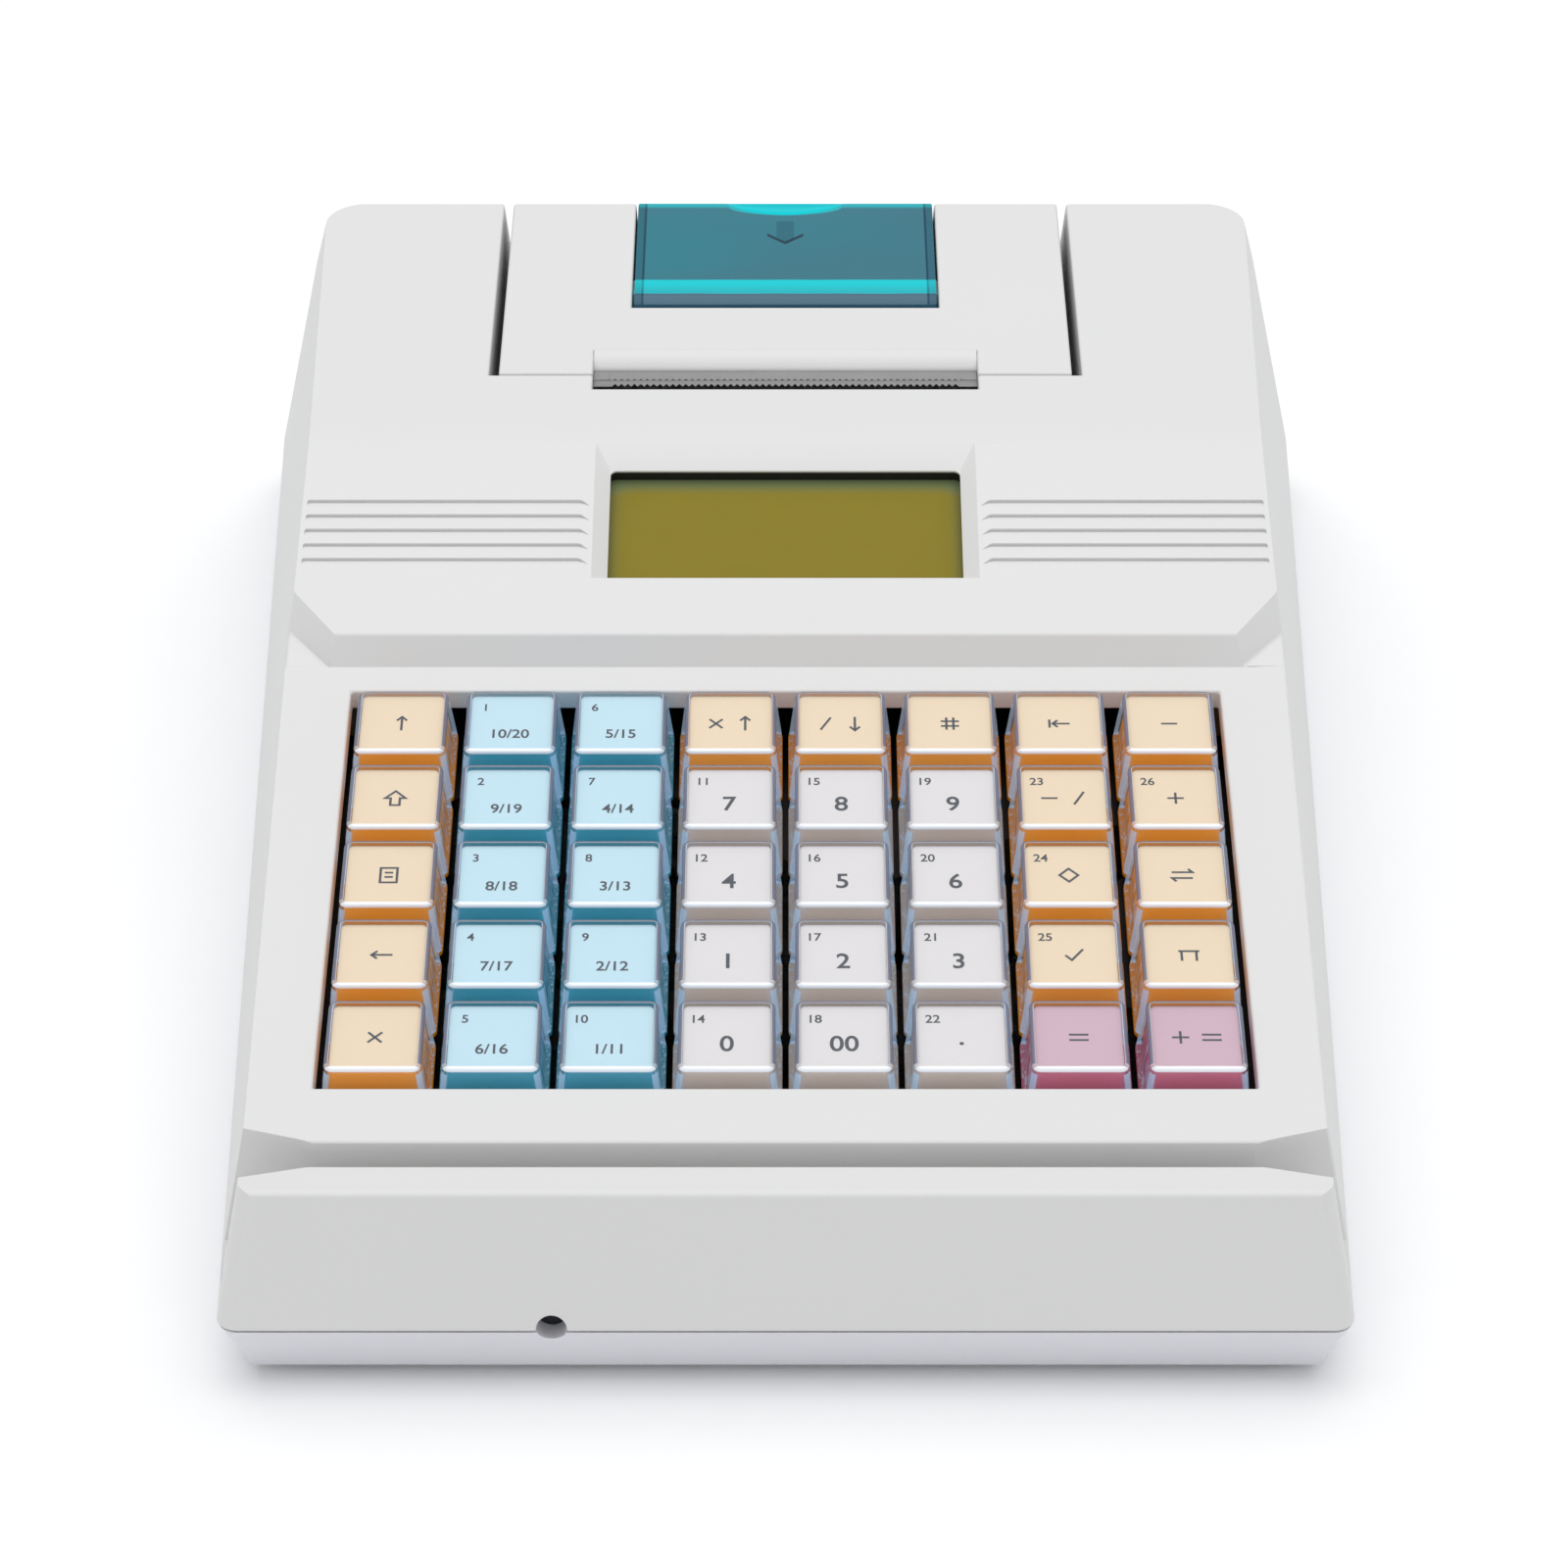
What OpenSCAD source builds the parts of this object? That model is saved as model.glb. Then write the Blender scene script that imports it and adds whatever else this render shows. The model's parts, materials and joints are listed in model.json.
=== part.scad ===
// Ticket register: a counter-top till with a block of re-legendable keys, a window display,
// a full-width card slot and a receipt printer under a hinged cover.
// Millimetres. X runs to the right, Y to the back and Z up. The origin is on the floor, under
// the middle of the case. Most pieces are drawn in the case frame, where Y is the distance
// behind the front parting line and Z is the height above the tray's underside.

/* [Case] */
// Depth of the case along its parting line
case_len = 310; // [300:1:380]
// Width of the case at the front of its parting line
front_w = 181.4; // [176:0.2:220]
// Height of the top rear edge above the tray's underside
rear_h = 82.8; // [76:0.1:100]
// Flare of each side towards the back, in degrees
side_flare = 2.86; // [0:0.01:4]
// Lean of the side walls, in degrees
side_lean = 10.8; // [4:0.1:13]
// Lean of the rear wall, in degrees
rear_lean = 28; // [20:0.5:30]
// Rise of the 45 degree corner above the rear wall
rear_corner = 14.8; // [10:0.1:16]
// Wall of the mouldings
wall = 2.5; // [2:0.1:3]
// Height of the lower tray up to the parting line
tray_h = 10.7; // [10:0.1:12]
// How far the tray's sides draw in towards its underside
tray_draft = 4.8; // [2:0.1:6]
// Shadow gap along the parting line
parting_gap = 0.6; // [0.3:0.1:1]
// Radius of the upright corners at the front
front_r = 3.5; // [3.5:0.1:6]
// Radius of the upright corners at the back
rear_r = 8; // [6:0.1:12]
// Height of the rubber feet below the tray
foot_h = 2; // [1.5:0.1:4]

// Radius of the moulded edges on top
edge_r = 1; // [0.4:0.1:1.4]

/* [Card slot] */
// Height of the bar in front of the slot
bar_h = 34; // [32:0.1:36]
// Thickness of the bar at its top
bar_top = 7.5; // [7:0.1:12]
// Radius of the bar's front edge
bar_r = 1.5; // [0.5:0.1:3]
// Lean of the bar's front face, in degrees
bar_lean = 12.2; // [8:0.1:14]
// Width of the slot at its mouth
slot_mouth = 3.5; // [2.5:0.1:5]
// Width of the slot at its floor
slot_foot = 1.8; // [1.2:0.1:2.4]
// Depth of the slot below the bar's top
slot_depth = 20.4; // [16:0.1:20.6]
// How far each wall of the slot turns away at the ends
slot_flare = 3; // [1:0.1:3.5]
// Length of the flared ends
slot_flare_len = 11.5; // [6:0.5:16]
// Height of the keyboard deck's front edge above the bar
deck_step = 2; // [1:0.1:4]

/* [Keyboard] */
// Columns of keys
key_cols = 8; // [4:1:8]
// Rows of keys
key_rows = 5; // [3:1:5]
// Distance from key to key
key_pitch = 19.05; // [18.8:0.05:19.6]
// Side of a key at its foot
key_foot = 18; // [17.4:0.1:18.2]
// Side of a key's clear cap at its top
key_top = 15.7; // [15:0.1:16.5]
// Height of a key
key_h = 11.5; // [11:0.1:12.5]
// How far a key stands above the deck
key_proud = 2.1; // [1:0.1:3]
// Travel of a key
key_travel = 3.5; // [2.5:0.1:3.6]
// Gap between the outer keys and the sides of their opening
key_side_gap = 0.5; // [0.3:0.1:2]
// Gap between the outer keys and the front and back of their opening
key_end_gap = 1; // [0.3:0.1:2]
// Tilt of the keyboard deck, in degrees
deck_tilt = 10.65; // [6:0.05:12]
// Deck in front of the key opening
deck_front = 12.1; // [11:0.1:20]
// Deck behind the key opening
deck_rear = 6.45; // [5:0.05:20]
// Height of the rim around the key opening
rim_h = 4.2; // [3:0.1:6]

/* [Display] */
// Rise of the step behind the keyboard
step_rise = 5.2; // [4:0.1:8]
// How far the step's face leans back over its rise
step_run = 2.7; // [1:0.1:4]
// Half the straight length of the step, between its mitred ends
step_half = 80.7; // [60:0.1:84]
// Tilt of the display deck, in degrees
display_tilt = 16.3; // [14:0.1:20]
// Length of the display deck
display_len = 51; // [50:0.1:60]
// Radius of the crown behind the display deck
crown_r = 60; // [30:1:100]
// Window width
window_w = 63.7; // [50:0.1:66]
// Window height
window_h = 28.2; // [20:0.1:30]
// Deck in front of the window
window_front = 14.7; // [14:0.1:16]
// Radius of the window's corners
window_r = 1.2; // [0.5:0.1:3]
// Width of the window's bevel at the back
bevel_back = 5.6; // [2:0.1:6]
// Width of the window's bevel at each side
bevel_side = 2.8; // [1:0.1:4]
// Width of the window's bevel at the front
bevel_front = 1; // [0.5:0.1:3]
// Grooves on each side of the window
groove_count = 5; // [3:1:7]
// Distance from groove to groove
groove_pitch = 3.67; // [2.5:0.01:4.5]
// Width of a groove
groove_w = 1.6; // [0.8:0.1:2]
// Depth of a groove
groove_depth = 0.7; // [0.3:0.1:1]

/* [Printer] */
// Width of the paper
paper_w = 57.5; // [56:0.1:60]
// Radius of the largest roll
roll_r = 25; // [20:0.5:25]
// Width of the cover
cover_w = 107; // [100:0.5:112]
// Length of the cover's top, from its front seam to the case's top rear edge
cover_len = 64.3; // [62:0.1:66]
// Gap at each side of the cover
cover_gap = 1.8; // [1:0.1:2.5]
// Gap of the cover's front seam
seam_gap = 0.5; // [0.3:0.1:1]
// Wall of the cover
cover_t = 2.5; // [2:0.1:3]
// Radius of the cover's hinge barrel
knuckle_r = 4; // [3.5:0.1:5]
// Height of the cover's hinge above the tray's underside
hinge_z = 46; // [44:0.5:50]
// Half the width of the paper exit
exit_half = 35.9; // [32:0.1:38]
// Length of the paper exit in front of the cover's seam
exit_front = 4.9; // [4:0.1:7]
// Length of the paper exit behind the cover's seam
exit_back = 9; // [8:0.1:11]
// Radius of the lip that rolls down into the paper exit
lip_r = 6; // [5:0.1:6.5]
// Width of the paper lid
lid_w = 57.8; // [56:0.1:60]
// Wall of the paper lid
lid_t = 2; // [1.6:0.1:2.2]
// Gap around the paper lid
lid_gap = 0.4; // [0.3:0.1:0.8]
// Radius of the paper lid's rolled front
lid_r = 5; // [4:0.1:5.5]
// Distance from the cover's seam to the paper lid
lid_from_seam = 24.6; // [23:0.1:26]
// Radius of the platen roller
platen_r = 6; // [5:0.1:6.2]
// Module of the printer's gears
gear_module = 0.8; // [0.7:0.05:0.85]
// Teeth of the platen gear
platen_teeth = 24; // [22:1:26]
// Teeth of the motor pinion
pinion_teeth = 12; // [11:1:14]

/* [Hidden] */
$fn = 48;
coarse = 32;                       // facets of a circle that goes into a hull
over = 5;                          // how far a cutting shape runs past what it cuts
reach = 420;                       // longer than anything in the model
fit = 0.08;                        // radial clearance of a running fit
seat_gap = 0.3;                    // gap between separate mouldings

case_white = [0.90, 0.90, 0.90];
tray_white = [0.89, 0.89, 0.92];
teal = [0.05, 0.50, 0.55, 0.8];
steel = [0.72, 0.73, 0.75];
black = [0.06, 0.06, 0.07];
board_green = [0.08, 0.35, 0.20];
cream = [0.96, 0.87, 0.74];
sky = [0.72, 0.88, 0.92];
pale = [0.92, 0.91, 0.93];
rose = [0.91, 0.78, 0.86];

// Case outline in the Y-Z plane, from the front to the back
function run(len, deg) = [len * cos(deg), len * sin(deg)];
bar_front = [(bar_h - tray_h) * tan(bar_lean), bar_h];
bar_back = bar_front + [bar_top, 0];
slot_mid = bar_back.x + slot_mouth / 2;
slot_z = bar_h - slot_depth;
deck_start = bar_back + [slot_mouth, deck_step];
field = [
    key_pitch * (key_cols - 1) + key_foot + 2 * key_side_gap,
    key_pitch * (key_rows - 1) + key_foot + 2 * key_end_gap
];
deck_len = deck_front + field.y + deck_rear;
deck_end = deck_start + run(deck_len, deck_tilt);
step_top = deck_end + [step_run, step_rise];
display_end = step_top + run(display_len, display_tilt);
function rear_y(z) = case_len - (z - tray_h) * tan(rear_lean);
corner_low = [rear_y(rear_h - rear_corner), rear_h - rear_corner];
rear_top = corner_low + [-rear_corner, rear_corner];
top_tilt = atan2(rear_top.y - display_end.y, rear_top.x - display_end.x);
function top_z(y) = display_end.y + (y - display_end.x) * tan(top_tilt);

// The crown is an arc, tangent to the display deck and to the top deck
crown_steps = 8;
crown_start = display_end - run(crown_r * tan((display_tilt - top_tilt) / 2), display_tilt);
crown_centre = crown_start + crown_r * [sin(display_tilt), -cos(display_tilt)];
crown = [
    for (i = [0 : crown_steps])
        let (a = display_tilt + (top_tilt - display_tilt) * i / crown_steps)
            crown_centre + crown_r * [-sin(a), cos(a)]
];

// Half the width of the case at a given depth and height
function half_w(y, z) = front_w / 2 + y * tan(side_flare) - (z - tray_h) * tan(side_lean);
function front_y(z) = (z - tray_h) * tan(bar_lean);

// Keyboard stack, measured down from the deck
foot_w = key_proud - key_h;
switch_top = -7.4;
flange_t = 0.8;
plate_top = foot_w - key_travel - flange_t - seat_gap;
plate_t = 1.5;
board_t = 1.6;
switch_low = plate_top - 5;
plate_margin = [7.8, 4];
post_x = field.x / 2 + 5;
post_r = 2.4;

// Display stack, measured down from the display deck
bevel_depth = wall - 0.4;
window_mid = window_front + window_h / 2;
bezel = [71, 36];
bezel_top = -wall - 0.1;
glass_top = bezel_top - 2;
lcd_board = [87, 46];
lcd_board_top = -9;

// Printer bay, paper path and hinges
cover_half = cover_w / 2;
bay_half = cover_half + cover_gap;
seam_y = rear_top.x - cover_len;
bay_front = seam_y - exit_front;
exit_end = seam_y + exit_back;
rear_out = [cos(rear_lean), sin(rear_lean)];
rear_down = [sin(rear_lean), -cos(rear_lean)];
hinge = [rear_y(hinge_z) - knuckle_r / cos(rear_lean), hinge_z];
hinge_foot = hinge + knuckle_r * rear_out;
hinge_gap = 0.4;
bay_sill = hinge_foot + (knuckle_r + hinge_gap) * rear_down;
pin_r = 2;
well = [rear_top.x - 16.8, rear_h - 37];
well_r = roll_r + 1;
roll_half = paper_w / 2 + 0.9;
bay_floor = well.y - 16;
guide_t = 2;
top_out = [-sin(top_tilt), cos(top_tilt)];
lid_half = lid_w / 2;
lid_front = seam_y + lid_from_seam;
lid_roll_y = lid_front + lid_gap + lid_r;
lid_axis = [lid_roll_y, top_z(lid_roll_y)] - lid_r * top_out;
lid_end = corner_low + 4 * rear_down;
lid_pin_r = 1.5;
lid_boss_r = 2.6;
ledge_t = 2;
ledge_l = 5;
ledge_seat = 5;
lip_drop = 0.8;
lip_turn = 45;
lip_centre = [exit_end - 2.4, top_z(exit_end) - lip_drop - lip_r];
lip_edge = lip_centre + lip_r * [-sin(lip_turn), cos(lip_turn)];
tear_t = 0.6;
scoop_half = 11.7;
scoop_dip = 2.2;
scoop_r = (scoop_half ^ 2 + scoop_dip ^ 2) / (2 * scoop_dip);
scoop_lean = (45 - top_tilt) / 2;

// Printer mechanism
platen = [seam_y + 8.6, rear_h - 24.8];
platen_half = paper_w / 2 + 1.2;
shaft_r = 2.5;
frame_x = 34;
frame_t = 2;
gear_x = frame_x + frame_t + 2.5;
gear_w = 4;
gear_gap = 0.1;
gear_distance = gear_module * (platen_teeth + pinion_teeth) / 2 + gear_gap;
mesh_angle = -50;                  // direction of the pinion, seen from the platen
pinion_at = platen + run(gear_distance, mesh_angle);
motor_r = 10;
motor_len = 9.5;
motor_x = gear_x + gear_w + 1.5;
pinion_shaft_r = 1;

// Fasteners, feet and boards
tongue_top = tray_h + 1.5;         // top of the tray's locating lip
screw_r = 1.5;
column_r = 3.2;
front_screws = [front_w / 2 - 15.7, deck_start.x + 6.4];
mid_screws = [80, 150];
rear_screws = [80, case_len - 30];
foot_r = 6;
feet_at = [[62, 32], [70, case_len - 36]];
main_board_z = 11.4;
main_board_top = main_board_z + board_t;
main_board_half = 65;
main_board_from = 130;
port_face = case_len - 19.5;
port_wall = 2;
main_board_to = port_face - port_wall - 0.8;
jack = [15.5, 16, 12.6];
jack_x = [2, 21];
inlet_x = -20;
inlet = [9, 13, 11];
inlet_r = 3.1;
hole_x = -37.3;
hole_r = 2.4;

function key_name(row, col) = str("key_", row + 1, "_", col + 1);
KEYS = [for (row = [0 : key_rows - 1]) for (col = [0 : key_cols - 1]) key_name(row, col)];

// Frames and shared shapes

// From the case frame to the part's own frame
module in_case() {
    translate([0, -case_len / 2, foot_h]) children();
}

// X along the deck's front edge, Y up the deck and Z out of it
module on_deck() {
    translate([0, deck_start.x, deck_start.y]) rotate([deck_tilt, 0, 0]) children();
}

// X along the step's top edge, Y up the display deck and Z out of it
module on_display() {
    translate([0, step_top.x, step_top.y]) rotate([display_tilt, 0, 0]) children();
}

// Extrudes a Y-Z outline along X, centred
module across(w) {
    rotate([90, 0, 90]) linear_extrude(w, center = true) children();
}

// Extrudes a Y-Z outline along X, between two values of X
module between(x0, x1) {
    translate([x0, 0, 0]) rotate([90, 0, 90]) linear_extrude(x1 - x0) children();
}

// A copy on each side of the case
module both_sides() {
    children();
    mirror([1, 0, 0]) children();
}

// A box given by its middle in X and Y, and by its lowest and highest Z
module slab(size, z0, z1) {
    translate([-size.x / 2, -size.y / 2, z0]) cube([size.x, size.y, z1 - z0]);
}

// A square block that tapers from its foot to its top
module taper(foot, top, z0, z1) {
    outline = [[-foot / 2, z0], [foot / 2, z0], [top / 2, z1], [-top / 2, z1]];
    intersection() {
        across(foot + top) polygon(outline);
        rotate([90, 0, 0]) linear_extrude(foot + top, center = true) polygon(outline);
    }
}

// Round corners of the case in plan at a height, drawn in by an inset
module corners(z, inset) {
    fr = max(front_r - inset, 0.6);
    rr = max(rear_r - inset, 0.6);
    y0 = front_y(z) + inset + fr;
    y1 = rear_y(z) - inset - rr;
    both_sides() {
        translate([half_w(y0, z) - inset - fr, y0]) circle(fr, $fn = coarse);
        translate([half_w(y1, z) - inset - rr, y1]) circle(rr, $fn = coarse);
    }
}

// A thin layer with those corners, lying on a height
module layer(z, plan_z, inset) {
    translate([0, 0, z]) linear_extrude(0.01) corners(plan_z, inset);
}

// The leaning block that holds the sides, the front and the back of the case
module leaning_block(inset, z0, z1) {
    hull() {
        layer(z0, z0, inset);
        layer(z1, z1, inset);
    }
}

// Side view of the case, open downwards, with its outer edges rounded
module case_outline() {
    offset(r = edge_r, $fn = coarse) offset(delta = -edge_r) polygon(concat(
        [[-over, -over], [-over, bar_h], [deck_start.x, bar_h], deck_start, deck_end, step_top],
        crown,
        [rear_top, rear_top + [rear_h, -rear_h], [rear_top.x + rear_h, -over]]
    ));
}

// What rounding the bar's front edge takes away, in side view
module bar_rounding() {
    turn = 90 + bar_lean;
    centre = bar_front + [bar_r / tan(turn / 2), -bar_r];
    low = centre + bar_r * [-cos(bar_lean), sin(bar_lean)];
    difference() {
        polygon([
            [centre.x, bar_h], [centre.x, bar_h + over], bar_front + [-over, over],
            low - [over, 0], low
        ]);
        translate(centre) circle(bar_r);
    }
}

// Side view of the card slot
module slot_outline() {
    mouth = slot_mouth / 2;
    foot = slot_foot / 2;
    polygon([
        [slot_mid - mouth, bar_h + over], [slot_mid - mouth, bar_h], [slot_mid - foot, slot_z],
        [slot_mid + foot, slot_z], [slot_mid + mouth, bar_h], [slot_mid + mouth, bar_h + over]
    ]);
}

// What the 45 degree mitres at the step's ends take away, moved inwards by an inset
module step_mitres(inset) {
    lean = atan2(step_run, step_rise);
    both_sides() intersection() {
        translate([step_half, deck_end.x, deck_end.y]) rotate([0, 0, 45]) rotate([-lean, 0, 0])
            translate([-reach / 2, inset - reach, -reach / 2]) cube(reach);
        on_deck() translate([0, deck_len - reach / 4, -inset]) cube(reach / 2);
    }
}

// Upper housing

module case_body() {
    difference() {
        intersection() {
            leaning_block(0, -over, rear_h + over);
            across(reach) case_outline();
            translate([-reach / 2, -over, tray_h]) cube(reach);
        }
        step_mitres(0);
    }
}

module case_hollow() {
    solid_end = half_w(0, bar_h) - slot_flare_len - wall;
    difference() {
        intersection() {
            leaning_block(wall, -over, rear_h + over);
            across(reach) offset(delta = -wall) difference() {
                case_outline();
                slot_outline();
            }
        }
        step_mitres(wall);
        both_sides() translate([solid_end, -over, tongue_top + seat_gap])
            cube([reach, deck_start.x + slot_flare + wall + over, reach]);
    }
}

module slot_flares() {
    x0 = half_w(0, bar_h) - slot_flare_len;
    x1 = x0 + 2 * slot_flare_len;
    near = slot_mouth / 2;
    wide = near + 2 * slot_flare;
    both_sides() translate([0, slot_mid, slot_z]) linear_extrude(slot_depth + over)
        polygon([[x0, -near], [x1, -wide], [x1, wide], [x0, near]]);
}

// Places a copy at the middle of the key opening
module at_field() {
    translate([0, deck_front + field.y / 2, 0]) children();
}

module deck_rim() {
    rim = field + [2 * wall, 2 * wall];
    at_field() slab(rim, -rim_h, -wall / 2);
}

module plate_posts() {
    both_sides() for (step = [-1, 0, 1])
        translate([post_x, deck_front + field.y / 2 + step * (field.y / 2 - 2), plate_top])
            cylinder(-plate_top - wall / 2, r = post_r);
}

module lcd_posts() {
    both_sides() for (side = [-1, 1])
        translate([lcd_board.x / 2 - 3, window_mid + side * (lcd_board.y / 2 - 3), lcd_board_top])
            cylinder(-lcd_board_top - wall / 2, r = 2.2);
}

module screw_places() {
    for (place = [front_screws, mid_screws, rear_screws])
        both_sides() translate(place) children();
}

module window_bevel() {
    x0 = window_w / 2;
    y0 = window_front;
    y1 = window_front + window_h;
    intersection() {
        rotate([90, 0, 0]) linear_extrude(reach, center = true) polygon([
            [-x0, -bevel_depth], [-x0 - bevel_side, 0], [-x0 - bevel_side, over],
            [x0 + bevel_side, over], [x0 + bevel_side, 0], [x0, -bevel_depth]
        ]);
        across(reach) polygon([
            [y0, -bevel_depth], [y0 - bevel_front, 0], [y0 - bevel_front, over],
            [y1 + bevel_back, over], [y1 + bevel_back, 0], [y1, -bevel_depth]
        ]);
    }
}

// A groove with an upright back wall, a sloping floor and a mitred inner end
module groove(y) {
    x0 = window_w / 2 + bevel_side + 0.6;
    x1 = half_w(step_top.x + y * cos(display_tilt), step_top.y + y * sin(display_tilt)) - 0.8;
    intersection() {
        translate([0, 0, -over]) linear_extrude(2 * over)
            polygon([[x0, y - groove_w], [x0 + groove_w, y], [x1, y], [x1, y - groove_w]]);
        across(reach) polygon([[y, -groove_depth], [y, over], [y - groove_w, over], [y - groove_w, 0]]);
    }
}

module grooves() {
    first = window_mid - groove_pitch * (groove_count - 1) / 2 - groove_pitch * 0.75;
    both_sides() for (i = [0 : groove_count - 1]) groove(first + i * groove_pitch);
}

// Walls and floor of the printer bay, with the trough of the paper well
module bay_walls() {
    across(2 * (bay_half + wall)) polygon([
        [bay_front - wall, bay_floor - wall], [bay_front - wall, reach],
        [reach, reach], [reach, bay_floor - wall]
    ]);
    intersection() {
        across(2 * (roll_half + wall)) translate(well) circle(well_r + wall);
        translate([-reach / 2, 0, bay_floor - reach]) cube(reach);
    }
}

// Clear space of the printer bay
module bay_space() {
    lip_z = top_z(bay_front) - wall;
    inner = bay_sill - wall * rear_out;
    inner_low = [rear_y(bay_floor) - wall / cos(rear_lean), bay_floor];
    across(2 * bay_half) polygon([
        [bay_front, bay_floor], [bay_front, lip_z], [seam_y, lip_z], [seam_y, reach],
        [reach, reach], bay_sill + reach / 4 * rear_out, inner, inner_low
    ]);
    translate([-exit_half, bay_front, bay_floor]) cube([2 * exit_half, exit_front + over, reach]);
    across(2 * roll_half) translate(well) circle(well_r);
}

// Upright plates that keep the roll in line
module roll_guides() {
    both_sides() between(roll_half, roll_half + guide_t) polygon([
        well + [-18, -18], well + [18, -18], well + [11, 18], well + [-11, 18]
    ]);
}

// Recess at the back that the sockets look into
module port_recess(grow) {
    x0 = inlet_x - 8 - grow;
    x1 = jack_x[1] + 12 + grow;
    translate([x0, port_face - grow, main_board_top - 1 - grow])
        cube([x1 - x0, reach, jack.z + 2 + 2 * grow]);
}

module port_cuts() {
    for (x = jack_x) translate([x, port_face, main_board_top + jack.z / 2])
        cube([jack.x + seat_gap, 2 * over, jack.z + seat_gap], center = true);
    translate([inlet_x, port_face, main_board_top + inlet.z / 2])
        cube([inlet.x + seat_gap, 2 * over, inlet.z + seat_gap], center = true);
}

module front_hole() {
    translate([hole_x, -over, tray_h]) rotate([-90, 0, 0]) cylinder(3 * over, r = hole_r);
}

module upper_housing() color(case_white) in_case() difference() {
    union() {
        difference() {
            case_body();
            case_hollow();
        }
        intersection() {
            case_body();
            union() {
                bay_walls();
                screw_places() translate([0, 0, tray_h]) cylinder(reach, r = column_r);
                port_recess(port_wall);
            }
        }
        on_deck() deck_rim();
        on_deck() plate_posts();
        on_display() lcd_posts();
        difference() {
            roll_guides();
            across(2 * roll_half) translate(well) circle(well_r);
        }
    }
    across(reach) slot_outline();
    across(reach) bar_rounding();
    slot_flares();
    on_deck() at_field() slab(field, -rim_h - over, over);
    on_display() {
        window_bevel();
        translate([0, window_mid, -2 * wall]) linear_extrude(2 * wall) offset(r = window_r)
            square([window_w - 2 * window_r, window_h - 2 * window_r], center = true);
        grooves();
    }
    difference() {
        bay_space();
        roll_guides();
    }
    both_sides() between(bay_half - over, bay_half + wall + over)
        translate(hinge) circle(pin_r + fit);
    port_recess(0);
    port_cuts();
    front_hole();
    screw_places() translate([0, 0, tray_h - over]) cylinder(over + 12, r = screw_r + fit);
    translate([-6.5, slot_mid, slot_z + 2]) cube([13, 2 * wall, 9]);
}

// Base tray

module base_tray() color(tray_white) in_case() difference() {
    union() {
        difference() {
            tray_block(0, 0, tray_h - parting_gap);
            tray_block(wall, wall, tray_h + over);
        }
        difference() {
            tongue(wall + seat_gap);
            tongue(wall + seat_gap + 1.5);
            port_recess(port_wall + seat_gap);
            across(reach) offset(delta = wall + seat_gap) slot_outline();
        }
        screw_places() cylinder(tray_h, r = column_r + 1.8);
        board_posts();
    }
    screw_places() translate([0, 0, -over]) cylinder(over + 5.5, r = 2 * screw_r + 0.3);
    screw_places() translate([0, 0, -over]) cylinder(reach, r = screw_r + 0.2);
    feet_places() translate([0, 0, -over]) cylinder(over + 1, r = foot_r + 0.2);
    vents();
    front_hole();
}

// Tray-shaped solid from a height up, with its walls drawn in by an inset
module tray_block(inset, z0, z1) {
    hull() {
        layer(z0, tray_h, tray_draft * (1 - z0 / tray_h) + inset);
        layer(z1 - 0.01, tray_h, max(0, tray_draft * (1 - z1 / tray_h)) + inset);
    }
}

// Locating lip that stands inside the upper housing
module tongue(inset) {
    low = tray_h - 3;
    translate([0, 0, low]) linear_extrude(tongue_top - low) hull() corners(tongue_top, inset);
}

module board_posts() {
    both_sides() for (y = [main_board_from + 6, main_board_to - 14])
        translate([main_board_half - 6, y, 0]) cylinder(main_board_z, r = 3);
}

module feet_places() {
    for (place = feet_at) both_sides() translate(place) children();
}

// Two rows of cooling slots under the main board
module vents() {
    for (row = [0, 1]) for (i = [-5 : 5])
        translate([8 * i, main_board_from + 30 + 44 * row, 0])
            cube([2.4, 26, 4 * wall], center = true);
}

// Display

module lcd_module() in_case() on_display() translate([0, window_mid, 0]) {
    aperture = [window_w + 0.5, window_h + 0.4];
    cell = aperture + [2, 2];
    color(black) difference() {
        slab(bezel, lcd_board_top, bezel_top);
        slab(aperture, lcd_board_top - over, bezel_top + over);
        slab(cell, lcd_board_top - over, glass_top + 0.1);
    }
    color([0.55, 0.51, 0.18]) slab(cell - [0.3, 0.3], lcd_board_top + 0.05, glass_top);
    color(board_green) slab(lcd_board, lcd_board_top - board_t, lcd_board_top);
}

// Keyboard

// Repeats its children at the middle of each key
module each_key() {
    for (row = [0 : key_rows - 1]) for (col = [0 : key_cols - 1]) at_key(row, col) children();
}

// Rows are counted from the back, and columns from the left
module at_key(row, col) {
    x = (col - (key_cols - 1) / 2) * key_pitch;
    y = ((key_rows - 1) / 2 - row) * key_pitch;
    at_field() translate([x, y, 0]) children();
}

module switch_plate() color(black) in_case() on_deck() difference() {
    at_field() slab(field + 2 * plate_margin, plate_top - plate_t, plate_top);
    each_key() slab([14, 14], plate_top - 2 * plate_t, plate_top + plate_t);
}

module key_switches() color(black) in_case() on_deck() each_key() difference() {
    union() {
        taper(13.4, 10.2, plate_top, switch_top);
        slab([15.4, 15.4], plate_top, plate_top + flange_t);
        slab([13.8, 13.8], switch_low, plate_top);
    }
    slab([4.5, 4.5], plate_top - 0.5, switch_top + over);
}

module keyboard_pcb() color(board_green) in_case() on_deck() at_field() {
    slab(field + [6, 4], switch_low - board_t, switch_low);
    translate([0, -field.y / 4, 0]) slab([30, 6], switch_low - board_t - 5, switch_low - board_t);
}

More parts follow.
